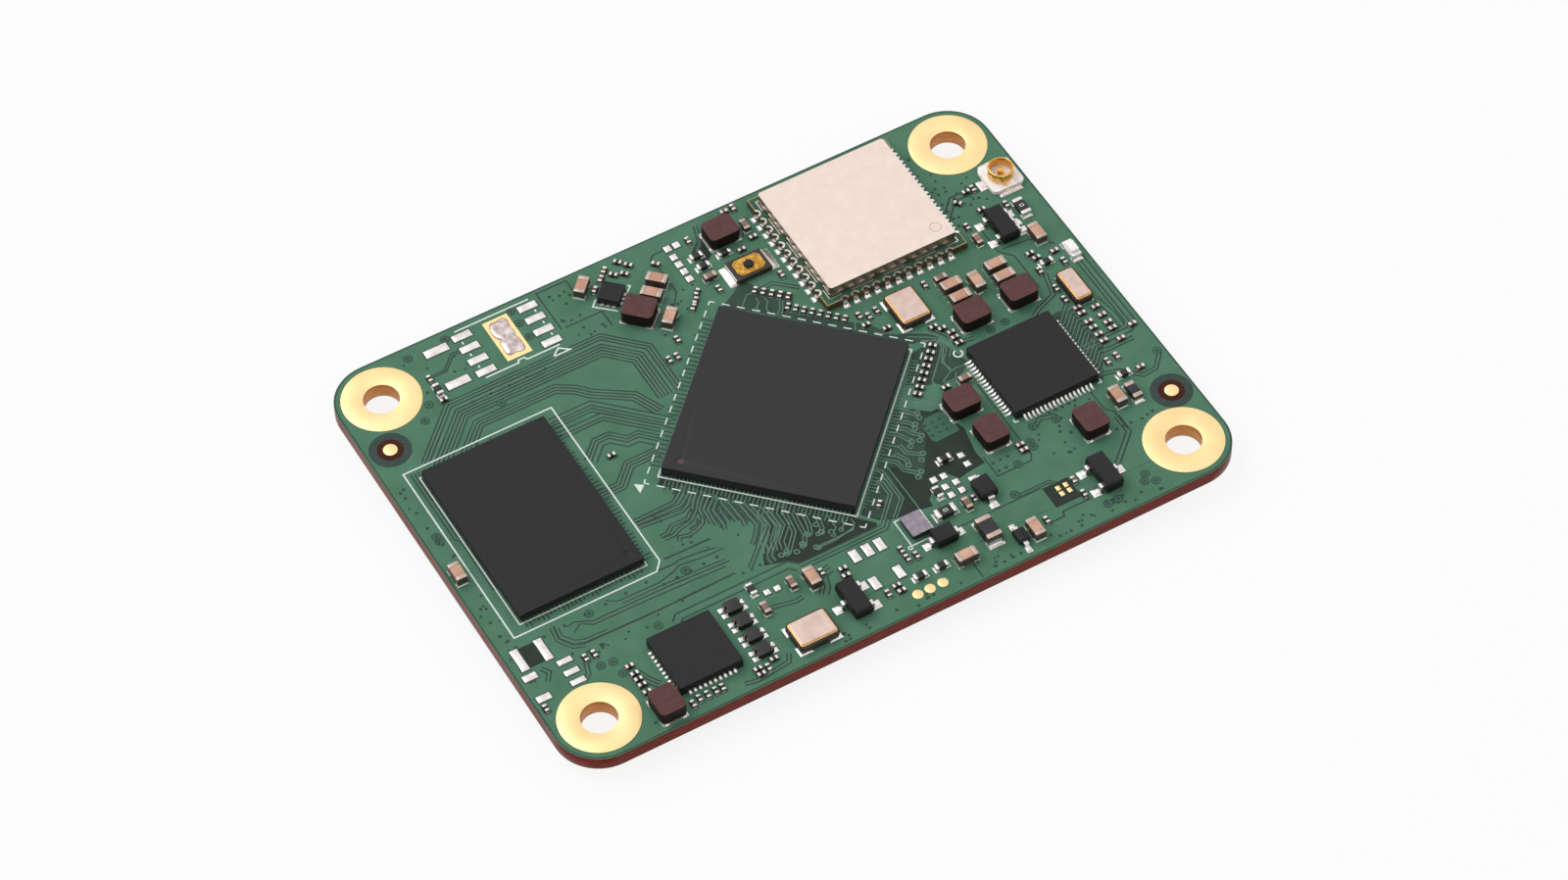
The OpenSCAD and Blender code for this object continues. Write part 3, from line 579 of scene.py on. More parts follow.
# Filter terminals: the darker upright tones are painted shade.
FILTER_END = two_sided_finish(
    "filter_end", [(74, 66, 62), (96, 86, 80)], [(34, 30, 28), (50, 45, 42)], 0.2, (0.35, 0.5), metal=0.6
)
# Coil body: brown on level faces; the near-black upright faces are painted shade.
COIL = two_sided_finish(
    "coil", [(86, 56, 53), (98, 67, 64)], [(22, 14, 13), (36, 25, 23)], 0.4, (0.5, 0.65),
    specular=0.15, depth=0.012,
)
# Capacitor ceramic: the darker upright tones are painted shade.
CERAMIC = two_sided_finish(
    "capacitor_ceramic", [(180, 132, 106), (218, 174, 148)], [(68, 47, 40), (92, 66, 57)], 3.0, (0.42, 0.56)
)
# Small capacitor ceramic: the darker upright tones are painted shade.
CERAMIC_DARK = two_sided_finish(
    "capacitor_dark", [(104, 78, 70), (150, 118, 104)], [(54, 39, 34), (74, 54, 46)], 3.0, (0.42, 0.56)
)
# Tiny capacitor ceramic: the darker upright tones are painted shade.
TINY_BROWN = two_sided_finish(
    "tiny_brown", [(92, 64, 56), (126, 92, 80)], [(44, 32, 28), (62, 46, 40)], 2.0, (0.42, 0.56)
)
CERAMIC_BLACK = finish("resistor_black", (20, 18, 19), (30, 27, 28), 0.2, (0.4, 0.55))
BASE_BROWN = finish("crystal_base", (34, 26, 23), (50, 39, 34), 0.3, (0.5, 0.65), depth=0.005)
PLASTIC = finish("white_plastic", (246, 241, 237), (252, 249, 247), 0.5, (0.45, 0.6))
LAMP_WHITE = finish("lamp_white", (246, 242, 238), (252, 249, 247), 0.5, (0.45, 0.6), depth=0.002)
FILM = finish("amber_film", (168, 100, 10), (238, 188, 58), 0.3, (0.16, 0.3))
# Shield frame: the darker upright tones are painted shade on its sides.
FENCE = two_sided_finish(
    "shield_fence", [(200, 184, 172), (216, 200, 190)], [(150, 134, 118), (176, 160, 144)],
    0.6, (0.36, 0.46), metal=1.0,
)
# Lead metal dimmed as painted shade, with its upright faces darker still as painted shade.
SHADED_LEAD = two_sided_finish(
    "shaded_lead", [(150, 142, 136), (176, 168, 160)], [(44, 40, 38), (66, 60, 56)], 0.2, (0.35, 0.5),
    metal=0.8,
)
FRAME_BROWN = finish("button_frame", (38, 30, 24), (54, 43, 34), 0.3, (0.5, 0.65), depth=0.005)

# Look of the solids, the width of their rounded edges in mm, and their nodes
NODE_LOOKS = [
    (MASK, 0.05, "circuit_board"),
    (HOLE_GOLD, 0.012, "hole_platings"),
    (GOLD, 0.01, "gold_lands"),
    (GOLD_DEEP, 0.015, "connector_contacts"),
    (RIM_GOLD, 0.015, "crystal_rims"),
    (LAND_TIN, 0, "bare_lands part_lands"),
    (LAND_TIN, 0.03, "lamp_ends"),
    (TIN, 0, "processor_balls memory_balls power_chip_leads network_chip_leads sensor_chip_bumps"),
    (TIN, 0.02, "transistor_leads diode_leads"),
    (TIN, 0.03, "resistor_ends"),
    (SOLDER, 0.02, "button_terminals"),
    (SHADED_LEAD, 0, "converter_chip_leads"),
    (SHADED_LEAD, 0.015, "coil_terminals"),
    (FILTER_END, 0.03, "line_filter_terminals"),
    (CHIP_END, 0.03, "small_capacitor_ends"),
    (CHIP_END, 0.04, "bead_ends"),
    (CHIP_END, 0.05, "large_capacitor_ends"),
    (TINY_END, 0.02, "tiny_capacitor_ends tiny_resistor_ends"),
    (CARRIER, 0.02, "processor_carrier memory_carrier"),
    (MOULD, 0.05, "processor_mould"),
    (MOULD_DARK, 0.02, "converter_chip"),
    (MOULD_DARK, 0.03, "radio_chip power_chip network_chip transistor_bodies diode_bodies flash_chip"),
    (MOULD_DARK, 0.04, "memory_mould button_nub connector_housings"),
    (RADIO_LAMINATE, 0, "radio_board"),
    (JOINT, 0, "radio_joints"),
    (FENCE, 0, "shield_frame"),
    (NICKEL, 0, "button_dome"),
    (NICKEL, 0.09, "shield_lid"),
    (SILICON, 0.01, "sensor_chip"),
    (COIL, 0.06, "coil_bodies"),
    (CERAMIC, 0.03, "large_capacitor_bodies"),
    (CERAMIC_DARK, 0.02, "small_capacitor_bodies"),
    (TINY_BROWN, 0.01, "tiny_capacitor_bodies"),
    (CERAMIC_BLACK, 0.01, "tiny_resistor_bodies"),
    (CERAMIC_BLACK, 0.015, "resistor_bodies"),
    (CERAMIC_BLACK, 0.02, "bead_bodies line_filter_bodies"),
    (BASE_BROWN, 0.02, "crystal_bases"),
    (LID, 0.035, "crystal_lids"),
    (LAMP_WHITE, 0.02, "lamp_body"),
    (PLASTIC, 0.03, "socket_base"),
    (SOCKET_METAL, 0.02, "socket_shell"),
    (SOCKET_METAL, 0.03, "socket_pin"),
    (FRAME_BROWN, 0.02, "button_frame"),
    (FILM, 0.01, "button_film"),
]


def dress_node(name, material, edge):
    """Gives a solid its material and, where edge is set, rounded edges of that width in mm."""
    piece = nodes[name]
    if piece.material_slots:
        piece.material_slots[0].material = material
    else:
        piece.data.materials.append(material)
    if not edge:
        return
    weld = piece.modifiers.new("weld", "WELD")
    weld.merge_threshold = 0.0005 * MM
    bevel = piece.modifiers.new("bevel", "BEVEL")
    bevel.width = edge * MM
    bevel.segments = 2
    bevel.limit_method = "ANGLE"
    bevel.angle_limit = math.radians(35)
    normals = piece.modifiers.new("normals", "WEIGHTED_NORMAL")
    normals.weight = 90


for look, edge_width, node_names in NODE_LOOKS:
    for node_name in node_names.split():
        dress_node(node_name, look, edge_width)


# Etched layer: dark gaps between tracks, bare mask, tracks that cross it, and covered vias

GAP_W = 0.12
GAP_PITCH = 0.27
TRACK_W = 0.09
LIT_W = 0.07
PAIR_PITCH = 0.24
EDGE_INSET = 0.1
EDGE_W = 0.1
VIA_RING = (0.18, 0.1)
SMALL_VIA_R = 0.13
SMALL_VIA_SIDES = 10

gaps = Layer()
patches = Layer()
shades = Layer()
tracks = Layer()
vias = Layer()
vias_small = Layer()

gaps.strip(board_outline(EDGE_INSET), EDGE_W)


def run_tracks(path, count, pitch=-GAP_PITCH):
    """Tracks side by side in uneven groups: dark gaps with the lit edges of the copper between them."""
    offset = 0
    for i in range(count):
        gaps.strip(shifted(path, offset), GAP_W)
        step = pitch * random.choice((1, 1, 1, 1.45))
        if i < count - 1:
            tracks.strip(shifted(path, offset + step / 2), 0.08)
        offset += step


# Tracks between the memory and the processor
for path, count in [
    ([(-24.2, 9.8), (-20.2, 13.8), (-7.4, 13.8), (-4.6, 11), (-4.6, 6.2)], 8),
    ([(-22.4, 8.05), (-19.15, 11.3), (-12.6, 11.3), (-11.2, 10.4), (-10.4, 9.5), (-7.7, 7.6),
      (-6.7, 5.3)], 4),
    ([(-14.5, 8.6), (-11, 8.6), (-8.4, 6), (-6.6, 4.2)], 4),
    ([(-14.5, 7.2), (-10.8, 7.2), (-7.6, 4)], 3),
    ([(-14, 4), (-12.6, 5.4), (-11.3, 5.4), (-10.3, 4.4), (-9.4, 4.4), (-8.2, 3.2)], 4),
    ([(-14.5, 1), (-13, 1), (-11.6, 2.4), (-9, 2.4)], 4),
]:
    run_tracks(path, count)

# Tracks from the processor's front left side
for path in [
    [(-13.6, -2.72), (-10.35, -2.66), (-9.5, -2.05), (-9, -1.6)],
    [(-13.55, -3.02), (-10.05, -3.15), (-9.15, -2.55), (-8.65, -2.05)],
    [(-13.5, -3.35), (-10.2, -3.65), (-9.6, -3.35), (-8.9, -2.65), (-8.45, -2.3)],
    [(-12.65, -4.9), (-12.05, -4.85), (-11.5, -4.42), (-10.2, -4.42), (-9.55, -3.9), (-9.05, -3.2),
     (-8.35, -2.55)],
    [(-12.55, -5.2), (-11.8, -5.25), (-11.15, -4.95), (-10.1, -4.75), (-9.35, -4.15), (-8.75, -3.35),
     (-8.1, -2.8)],
    [(-11.7, -5.95), (-11.5, -5.6), (-10.8, -5.8), (-10.15, -5.65), (-9.45, -5.3), (-9.2, -4.8),
     (-9.1, -4.15), (-8.5, -3.5), (-7.95, -3)],
    [(-8.95, -5.7), (-8.9, -5.05), (-8.85, -4.3), (-8.2, -3.7), (-7.7, -3.3)],
    [(-8.7, -6), (-8.6, -4.5), (-7.95, -3.95), (-7.5, -3.55)],
    [(-8.4, -6.65), (-8.25, -6.15), (-8.3, -4.7), (-7.6, -4.05)],
    [(-7.3, -6.45), (-7.45, -4.4), (-7.15, -4)],
    [(-6.95, -7.1), (-6.9, -6.5), (-7, -4.55)],
    [(-7.4, -8.8), (-6.8, -8.25), (-6.25, -7.5), (-6.4, -5.1)],
    [(-7.15, -9.15), (-6.45, -8.45), (-5.8, -7.55), (-6.05, -5.4)],
    [(-8.55, -10.55), (-6.1, -8.3), (-5.55, -7.7), (-5.75, -5.65)],
    [(-7, -11), (-7.1, -10.6), (-6.85, -10.05), (-5.85, -9.2), (-5.05, -8.3), (-5.2, -6.15)],
    [(-6.65, -10.95), (-6.7, -10.45), (-6.5, -10.15), (-5.7, -9.4), (-4.8, -8.45), (-4.9, -6.45)],
]:
    for offset in (-0.13, 0.13):
        gaps.strip(shifted(path, offset), 0.13)
    tracks.strip(path, TRACK_W)
for path in [
    [(-9.9, -1.5), (-9.4, -1)], [(-10.1, -2.3), (-9.3, -1.5)],
    [(-9.75, -4.5), (-9.2, -3.75), (-8.75, -3)], [(-8.05, -6.3), (-7.95, -4.75), (-7.3, -4.2)],
    [(-7.65, -6.2), (-7.7, -4.75)], [(-6.6, -6.9), (-6.7, -4.9)],
    [(-10.6, -5.35), (-9.85, -5.2), (-9.6, -4.75)],
]:
    gaps.strip(path, 0.16)

# Tracks in front of the memory
for path, width in [
    ([(-13.4, -6.75), (-12.25, -6.8), (-9.7, -6.82)], 0.18),
    ([(-14.65, -7.42), (-12.95, -7.49), (-12.5, -7.36), (-10.9, -7.52), (-9.75, -7.75)], 0.14),
    ([(-18.75, -7.85), (-18.05, -8.33), (-14.7, -8.4), (-13.3, -8.05), (-12.8, -7.8), (-10.8, -8.05),
      (-9.3, -8.05)], 0.12),
    ([(-17.8, -8.68), (-15.1, -8.7), (-12.6, -8.8), (-9.7, -8.95)], 0.1),
    ([(-22.2, -8.45), (-21.55, -8.37), (-20.3, -8.95), (-14.4, -9), (-9.5, -9.25)], 0.12),
    ([(-22, -9.18), (-21.25, -8.7), (-20.45, -9.25), (-16.4, -9.32), (-9.9, -9.55)], 0.12),
    ([(-22.75, -8.2), (-22.85, -9), (-22.3, -9.75), (-21.6, -10.05), (-19.8, -10.1)], 0.1),
    ([(-23, -7.95), (-23.15, -9.1), (-22.5, -10.1), (-21.8, -10.36), (-16, -10.5), (-9.7, -10.4)], 0.18),
    ([(-23.3, -8), (-23.45, -9.25), (-22.7, -10.35), (-21.9, -10.65)], 0.1),
]:
    gaps.strip(path, width)
    tracks.strip(shifted(path, -0.14), LIT_W)
run_tracks([(-15.6, -11.9), (-15.1, -11.4), (-6, -11.4), (-5.4, -12)], 2, -0.42)
gaps.bundle([(-5.4, -12), (1.3, -12), (3.2, -10.1)], 3, -0.29, GAP_W)
for path, count, pitch in [
    ([(-25.6, -10.8), (-25.3, -11.3), (-25.7, -11.9)], 2, GAP_PITCH),
    ([(-23.3, -13.4), (-22.7, -12.9), (-22.4, -11.9)], 2, GAP_PITCH),
    ([(-19.7, -14.2), (-19.3, -15.2), (-18.8, -16)], 3, -GAP_PITCH),
    ([(-13.9, -19.3), (-12.9, -19.5), (-10.2, -19.2), (-9.8, -18.5)], 2, GAP_PITCH),
    ([(-9, -14.5), (-7.2, -14.9), (-6.6, -14.8)], 2, GAP_PITCH),
    ([(-5, -15.5), (-4.5, -14.9), (-4.2, -13.9), (-3.6, -13.8)], 3, GAP_PITCH),
]:
    run_tracks(path, count, pitch)

# Tracks in the margin of the memory
for x in np.arange(MEMORY_LOW.x + 0.3, MEMORY_HIGH.x - 0.2, 0.33):
    gaps.strip([(x, MEMORY_HIGH.y - 0.2), (x, MEMORY_HIGH.y + random.uniform(0.35, 0.8))], GAP_W)
    gaps.strip([(x, MEMORY_LOW.y + 0.2), (x, MEMORY_LOW.y - random.uniform(0.3, 0.75))], GAP_W)
for y in np.arange(MEMORY_LOW.y + 0.4, MEMORY_HIGH.y - 0.3, 0.36):
    gaps.strip([(MEMORY_HIGH.x - 0.2, y), (MEMORY_HIGH.x + random.uniform(0.4, 0.95), y)], GAP_W)
run_tracks([(-25.4, 9.2), (-25.4, 2.4), (-25.1, 2.1), (-25.1, -3)], 3, GAP_PITCH)

# Bare mask, and painted shade where the mask is half lit, with the tracks that cross them
for outline in [
    [(-7.6, -10.9), (-7.2, -10), (-5.8, -8.6), (-5.5, -4.9), (0.3, -10.7), (1.2, -11.7), (1, -11.98),
     (-5.4, -11.98), (-6, -11.38)],
    [(7.6, -3.4), (8.7, -4.1), (9.7, -4.95), (10.3, -4.95), (10.4, -5.65), (11, -7.5), (10.55, -9.8),
     (10.65, -10.95), (9.1, -11.1), (8.35, -11.25), (7.75, -10.4), (6.2, -11.1), (5.5, -11.8), (5.4, -12.45),
     (4.6, -12.3), (2.6, -12.05), (1.5, -11.6), (0.6, -10.5)],
    [(12.9, -17.1), (15, -17.1), (15, -15.1), (12.9, -15.1)],
    [(2.1, 17), (3.5, 18.3), (3.4, 16.2), (2.6, 15.6)],
    [(-26.1, -10.3), (-24.9, -10.3), (-24.9, -8.4), (-26.1, -8.4)],
]:
    patches.area(outline)
for outline in [
    [(7.6, -3.45), (9.05, -4.5), (8.5, -6.05), (7.1, -8.6), (6, -10), (5.6, -9.1), (5.1, -8.1),
     (4.3, -7.75), (4, -10.6), (2.6, -11.9), (1.6, -11.5), (0.7, -10.4)],
    [(11.35, 0.45), (12.75, 0.65), (13.7, 0.2), (14, -0.7), (14.4, -2.3), (13.65, -2.95), (12.7, -3.3),
     (11.7, -3.25), (11.2, -2.7), (10.9, -2.8), (9.4, -1.9)],
    [(1.2, 11.2), (2.7, 12), (4.1, 12.9), (4.6, 12), (3.9, 11.6), (3.2, 10)],
    [(3.9, 12), (4.5, 11.9), (6.7, 10), (6.25, 9.05), (5.35, 8.55), (8.9, 5.35), (10, 4.5), (10.9, 2.8),
     (13, 1.65), (13.9, 0.8), (13.2, 0.4), (11.45, 1.4), (2.9, 10.3)],
    [(21.6, -1.9), (22.4, -1.6), (23.6, -2), (23.7, -6), (23.2, -7), (22, -8.8), (21.6, -8.8)],
]:
    shades.area(outline)
tracks.bundle([(-3.2, -6.4), (-4.2, -7.4), (-4.2, -8.6), (-5.3, -9.7), (-5.5, -10.4)], 6, -0.32, TRACK_W)
tracks.strip([(-3.6, -11.35), (-0.6, -11.35), (-0.2, -10.9), (-0.2, -10.4)], TRACK_W)
tracks.bundle([(3.6, -7.35), (3.95, -7.85), (3.97, -10.75), (2.6, -12.05)], 2, -PAIR_PITCH, TRACK_W)
tracks.bundle([(3.15, -8.35), (3.45, -8.75), (3.45, -10), (1.45, -12.1)], 2, -PAIR_PITCH, TRACK_W)
for path in [
    [(-4.1, -7.3), (-4.4, -9.3), (-5.7, -10.8)], [(-3.6, -7.8), (-3.9, -10), (-4.4, -10.8)],
    [(-3, -8.2), (-3.2, -9.4), (-3.5, -10.1)], [(-2.3, -8.8), (-2.5, -10), (-2.9, -10.4)],
    [(-1.5, -9.3), (-1.5, -10.5), (-2, -11)], [(-0.7, -10), (-0.9, -10.6), (-1.3, -10.9)],
    [(-0.5, -11.2), (-2, -11.5), (-3.5, -11.5)],
]:
    tracks.bundle(path, 2 if path[0][0] < -2 else 1, 0.26, TRACK_W)
    tracks.ring(*path[-1], 0.16, TRACK_W)
tracks.strip([(4.4, -7.65), (4.45, -12.1)], TRACK_W)


def processor_stubs(layer, side, count, pitch, shortest, longest, width):
    """Short track ends square to a side of the processor: 0 right, 1 back, 2 left, 3 front of the package."""
    away = PROCESSOR[side % 2] / 2
    turn = side * math.pi / 2
    for i in range(count):
        along = (i - (count - 1) / 2) * pitch
        length = random.uniform(shortest, longest)
        ends = []
        for out in (away - 0.3, away + length):
            u = out * math.cos(turn) - along * math.sin(turn)
            v = out * math.sin(turn) + along * math.cos(turn)
            ends.append(on_processor(u, v))
        layer.strip(ends, width)


band_x, band_y = -PROCESSOR[0] / 2, PROCESSOR[1] / 2
patches.area([
    on_processor(u, v)
    for u, v in [
        (band_x + 0.3, -band_y), (band_x + 0.3, band_y), (band_x - 0.9, band_y), (band_x - 0.9, -band_y),
    ]
])
processor_stubs(gaps, 1, 36, 0.4, 0.8, 1.3, GAP_W)
processor_stubs(tracks, 2, 46, 0.3, 0.7, 1.1, TRACK_W)
processor_stubs(gaps, 2, 36, 0.38, 0.9, 1.5, GAP_W)
processor_stubs(tracks, 3, 46, 0.31, 0.5, 1.6, TRACK_W)
processor_stubs(gaps, 0, 34, 0.4, 0.5, 1.1, GAP_W)

# Pairs of tracks from the processor to small vias
for path in [
    [(8.2, -2.9), (9, -3.35), (9.95, -4.4)], [(8.6, -3.5), (9.8, -4.8), (10.25, -4.7), (10.4, -4.35)],
    [(7.7, -3.75), (8.15, -4.15), (8.6, -4.8)], [(6.75, -4.25), (7.7, -5.05), (7.9, -5.45)],
    [(6.35, -4.65), (7.2, -5.45), (7.4, -6), (7.9, -6.5)],
    [(5.95, -5.2), (6.55, -5.7), (6.85, -6.35), (7.1, -6.6)],
    [(6.05, -6.4), (6.1, -7.3), (7, -8.05)], [(5.35, -6.9), (5.55, -7.4), (5.8, -7.85), (5.8, -8.25)],
    [(4.2, -6.9), (5.1, -7.75), (5.2, -8.65), (6.05, -9.5)],
]:
    tracks.bundle(path, 2, PAIR_PITCH, TRACK_W)
for x, y in [
    (8.8, -4.55), (8.7, -5), (8.15, -5.35), (7.9, -5.7), (8, -6.5), (7.65, -6.8), (7.1, -6.6),
    (6.8, -6.95), (7.25, -7.95), (6.85, -8.4), (5.8, -8.35), (6.3, -9.3), (5.85, -9.65),
]:
    tracks.ring(x, y, *VIA_RING)

# Tracks that wind round the small parts at the processor's corner
for path in [
    [(12.5, 1.15), (13.45, 0.6), (13.55, 0.15), (13.35, -0.35), (11.25, -2.55), (11.2, -3.35)],
    [(12.8, 1.35), (13.65, 0.75), (13.95, 0), (13.6, -0.65), (13, -1.2), (12.87, -1.5),
     (12.87, -2.45), (11.9, -3)],
    [(13.3, 0.8), (13.75, 0.35), (13.65, -0.2), (12.75, -1.35), (13.05, -2.5)],
    [(14.35, 0.4), (14.35, 0), (14, -0.65), (13.5, -1.2)],
    [(13.05, -2.45), (13.45, -2.35), (14.15, -2.5)],
    [(13.2, -2.7), (12.85, -3.2), (12.2, -3.2), (11.9, -3.15)],
    [(4.15, 10.9), (4.1, 10.35), (3.7, 10.05), (3.75, 9.55)],
    [(4.7, 10.6), (4.7, 10.1), (4.35, 9.7), (4.25, 9.1)], [(5.55, 9.8), (5.15, 9.1), (4.65, 8.6)],
    [(5.75, 9.7), (5.3, 8.9), (4.85, 8.4)], [(9.25, 5.15), (8.85, 4.45)],
    [(9.45, 5.15), (9.7, 4.7), (9.5, 4.2)], [(11.65, 2.5), (13.3, 1.5), (13.85, 0.8), (14.05, -0.5)],
    [(11.8, 2), (13.1, 1.15)], [(11.9, 1.1), (12.9, 0.85)], [(10.05, 3.6), (10.4, 3.15), (11.35, 2.8)],
]:
    tracks.strip(path, TRACK_W)
for x, y in [
    (-6.1, -10.7), (-5.6, -10.6), (-5, -11), (-4.3, -10.6), (-3.6, -10), (-3.6, -11.35), (-2.6, -9.6),
    (-2.6, -10.4), (-2, -10.7),
]:
    tracks.ring(x, y, *VIA_RING)

# Tracks of the power chip
for i in range(15):
    y, rise = -2.35 - 0.4 * i, random.uniform(0.85, 1.15)
    path = [(21.5, y), (22.25, y), (22.25 + rise, y + rise), (23.7, y + rise)]
    gaps.strip(path, 0.1)
    tracks.strip(shifted(path, -0.13), LIT_W)
for path, count, pitch in [
    ([(22.1, -8.2), (23.5, -8.5), (24.8, -9.8), (25.8, -9.7), (26.8, -8.6)], 2, -GAP_PITCH),
    ([(15.3, -10), (16, -9.4), (17.3, -9.7), (17.4, -10.3)], 2, -GAP_PITCH),
    ([(21.6, -5.95), (26.3, -5.95), (27, -5.2), (27, 2.2)], 3, 0.3),
    ([(25.8, -2), (26.1, -3.8), (26.1, -5.2)], 2, -GAP_PITCH),
    ([(23.8, 1.9), (23.2, -0.2), (21.6, -0.8), (20.9, -1.2)], 2, -GAP_PITCH),
    ([(14, 1.6), (14.5, 0.7), (14.7, -0.3), (16, -0.5)], 2, -GAP_PITCH),
]:
    run_tracks(path, count, pitch)
for path, count, pitch in [
    ([(21.6, -6.9), (22.4, -6.9), (23, -6.4), (26, -6.4)], 2, -0.3),
    ([(20.6, -9.1), (20.6, -11.2), (21.1, -11.7), (21.1, -13.6)], 1, 0),
    ([(18.9, -16), (21.2, -13.9), (21.2, -12.2)], 2, 0.35),
]:
    gaps.bundle(path, count, pitch, GAP_W)

# Tracks of the antenna and the small parts near it
gaps.strip([(19.8, 9.5), (21.6, 11.4), (23.9, 11.4)], 0.16)
gaps.strip([(19.5, 9.9), (21.4, 11.9), (23.9, 11.9)], 0.16)
gaps.strip([(22.2, 5.6), (24.4, 5.4), (25.8, 4.1)], GAP_W)
run_tracks([(2.4, 10.4), (3.6, 11.6), (6, 11.6), (7.5, 10.2)], 2)
run_tracks([(3.6, 19.3), (3.1, 17.8), (2.1, 16.6)], 2, GAP_PITCH)
run_tracks([(7.4, 18.2), (6.7, 17.8), (6, 16.6)], 2, GAP_PITCH)

# Tracks by the lamp, the empty eight-land place, the converter and the front edge
for path, count, pitch in [
    ([(21.8, 8.2), (21.8, 5.5), (22.6, 4.6), (22.6, 1)], 1, 0),
    ([(-9.6, 15.6), (-9.6, 19.55), (-7.1, 19.55), (-7.1, 17.4)], 1, 0),
    ([(-9.3, 15.6), (-6.2, 15.6), (-6.2, 14)], 1, 0),
    ([(-20.1, 16.4), (-18.7, 16.4), (-17.6, 17.5), (-17, 17.5)], 2, 0.2),
    ([(-0.8, 18), (-0.4, 18.4), (0.6, 18.4)], 1, 0),
    ([(-0.6, 17), (-0.6, 14.4), (-1.6, 13)], 1, 0),
    ([(10.8, -10.5), (10.8, -12.5), (13.6, -12.5), (13.9, -12), (13.9, -4.5)], 1, 0),
    ([(11, -14.6), (11.2, -14.9), (13.6, -14.9), (14, -15.3)], 2, 0.22),
    ([(5.2, -15), (12.9, -15)], 1, 0),
    ([(11.9, -18), (13, -18), (13.1, -17.6), (15.5, -17.6)], 1, 0),
    ([(5.2, -18.3), (5.2, -19.7)], 1, 0),
]:
    gaps.bundle(path, count, pitch, GAP_W)

# Copper island with its vias
island_low = (8.35, -7.5)
vias.area([
    (8.6, -5.65), (9, -5.25), (10.2, -5.25), (10.65, -6), (10.65, -7.4), (10.45, -7.5), (8.6, -7.55),
    (8.4, -7.3), (8.45, -6),
])
for i in range(3):
    for j in range(3):
        vias_small.disc(island_low[0] + 0.3 + 0.62 * i, island_low[1] + 0.6 + 0.52 * j, SMALL_VIA_R)

# Covered vias
wells = Layer()
LARGE_VIAS = [
    (-20.6, 18.9), (-21.25, 14.3), (-22.2, 13.1), (-17.4, 19.15), (-16.65, 11.75), (-26.4, 3.3), (-26.4, 2.8),
    (-20.3, -8.25), (16.25, -18.65), (17.1, -18.65), (19.95, -17.7), (19.55, -18.25), (20.3, -18.6),
    (10.95, -14.55), (12.6, -12.3), (14.4, -11), (14.4, -11.5), (-12, 19), (-12, 17.7), (-12, 16.2),
    (26.8, -8.5), (17.1, -10.2), (15.3, -9.9), (17.4, -0.6), (18.7, -0.5),
    (-21.75, -12.65), (-20.85, -12.8), (-20.75, -14), (-16.6, -11.65), (-12.6, -8.4),
]
for x, y in LARGE_VIAS:
    vias.disc(x, y, 0.34)
    wells.ring(x, y, 0.32, 0.07)
    wells.disc(x, y, SMALL_VIA_R, SMALL_VIA_SIDES)
SMALL_VIA_ROWS = [
    ((11.1, -11.3), (0.62, 0), 3), ((11.1, -12.1), (0.62, 0), 2), ((17, -9.4), (0.55, 0), 5),
    ((-24, -8.4), (1.7, 0.1), 6), ((-14.5, -8.7), (1.1, 0.05), 5), ((-9.2, -10.7), (0.7, 0), 3),
    ((20, 17.2), (0.7, -0.5), 3), ((20.9, 13.2), (0.6, -0.6), 5), ((20.6, 11.6), (0, -0.8), 4),
    ((6.5, -19.3), (0.7, 0.02), 5), ((11.8, -19.35), (0.9, 0), 3), ((-26.7, 7.5), (0.05, -1.6), 4),
    ((-26.7, -4), (0.03, -1.4), 3), ((-8.9, 18.8), (0.7, -0.3), 3), ((-3.3, 11.2), (0.6, 0.4), 3),
    ((19.8, -13.2), (0.6, 0), 4), ((22.5, -13.3), (0.5, 0.1), 3), ((-18.4, 12.9), (1.5, 0), 5),
]
HOLE_AT = (BOARD_HIGH.x - CORNER_R, BOARD_HIGH.y - CORNER_R)
RING_R = 3.0
TARGETS = [(-25.6, 12), (25.7, -12.2)]
VIA_FIELDS = [
    ((-27, -13.5), (-26, 11), 26), ((-6.5, -19.6), (4, -18.9), 14), ((14.8, -13.6), (20.2, -9.8), 22),
    ((19.9, 9.6), (23.9, 15.8), 30), ((-24.5, 15), (-17, 19.5), 14), ((-9.8, 13.9), (-6.4, 19.2), 16),
    ((5.4, -19.5), (21, -18.3), 26), ((-23, -11.6), (-14, -10.6), 14),
    ((-21.5, -19), (-18.6, -16.4), 10), ((-3.6, 12), (0.8, 15.6), 12),
    ((22.4, -15.2), (27, -13), 8), ((-13, -8.4), (-7.5, -3), 16),
]
for (x0, y0), (x1, y1), count in VIA_FIELDS:
    for i in range(count):
        x = random.uniform(x0, x1)
        y = random.uniform(y0, y1)
        radius = random.uniform(0.09, 0.14)
        near = [math.dist((abs(x), abs(y)), HOLE_AT)] + [math.dist((x, y), t) for t in TARGETS]
        if min(near) > RING_R + 0.2:
            vias_small.disc(x, y, radius, SMALL_VIA_SIDES)
for (x, y), (dx, dy), count in SMALL_VIA_ROWS:
    for i in range(count):
        vias_small.disc(x + dx * i, y + dy * i, SMALL_VIA_R, SMALL_VIA_SIDES)

# Openings in the mask round the empty lands
for land in islands("bare_lands"):
    gaps.area(box_outline(land.min(0), land.max(0), 0.07)[:-1])

# Openings in the mask under the tiny parts
TINY_HALF_L = 0.4
TINY_HALF_W = 0.24
for kind in ("capacitor", "resistor"):
    kind_ends = islands(f"tiny_{kind}_ends")
    for body in islands(f"tiny_{kind}_bodies"):
        place = np.array(middle_of(body)[:2])
        nearest = min((np.array(middle_of(e)[:2]) for e in kind_ends), key=lambda e: math.dist(e, place))
        along = (nearest - place) / math.dist(nearest, place)
        across = np.array([-along[1], along[0]])
        gaps.area([
            tuple(place + along * a * TINY_HALF_L + across * b * TINY_HALF_W)
            for a, b in [(-1, -1), (1, -1), (1, 1), (-1, 1)]
        ])

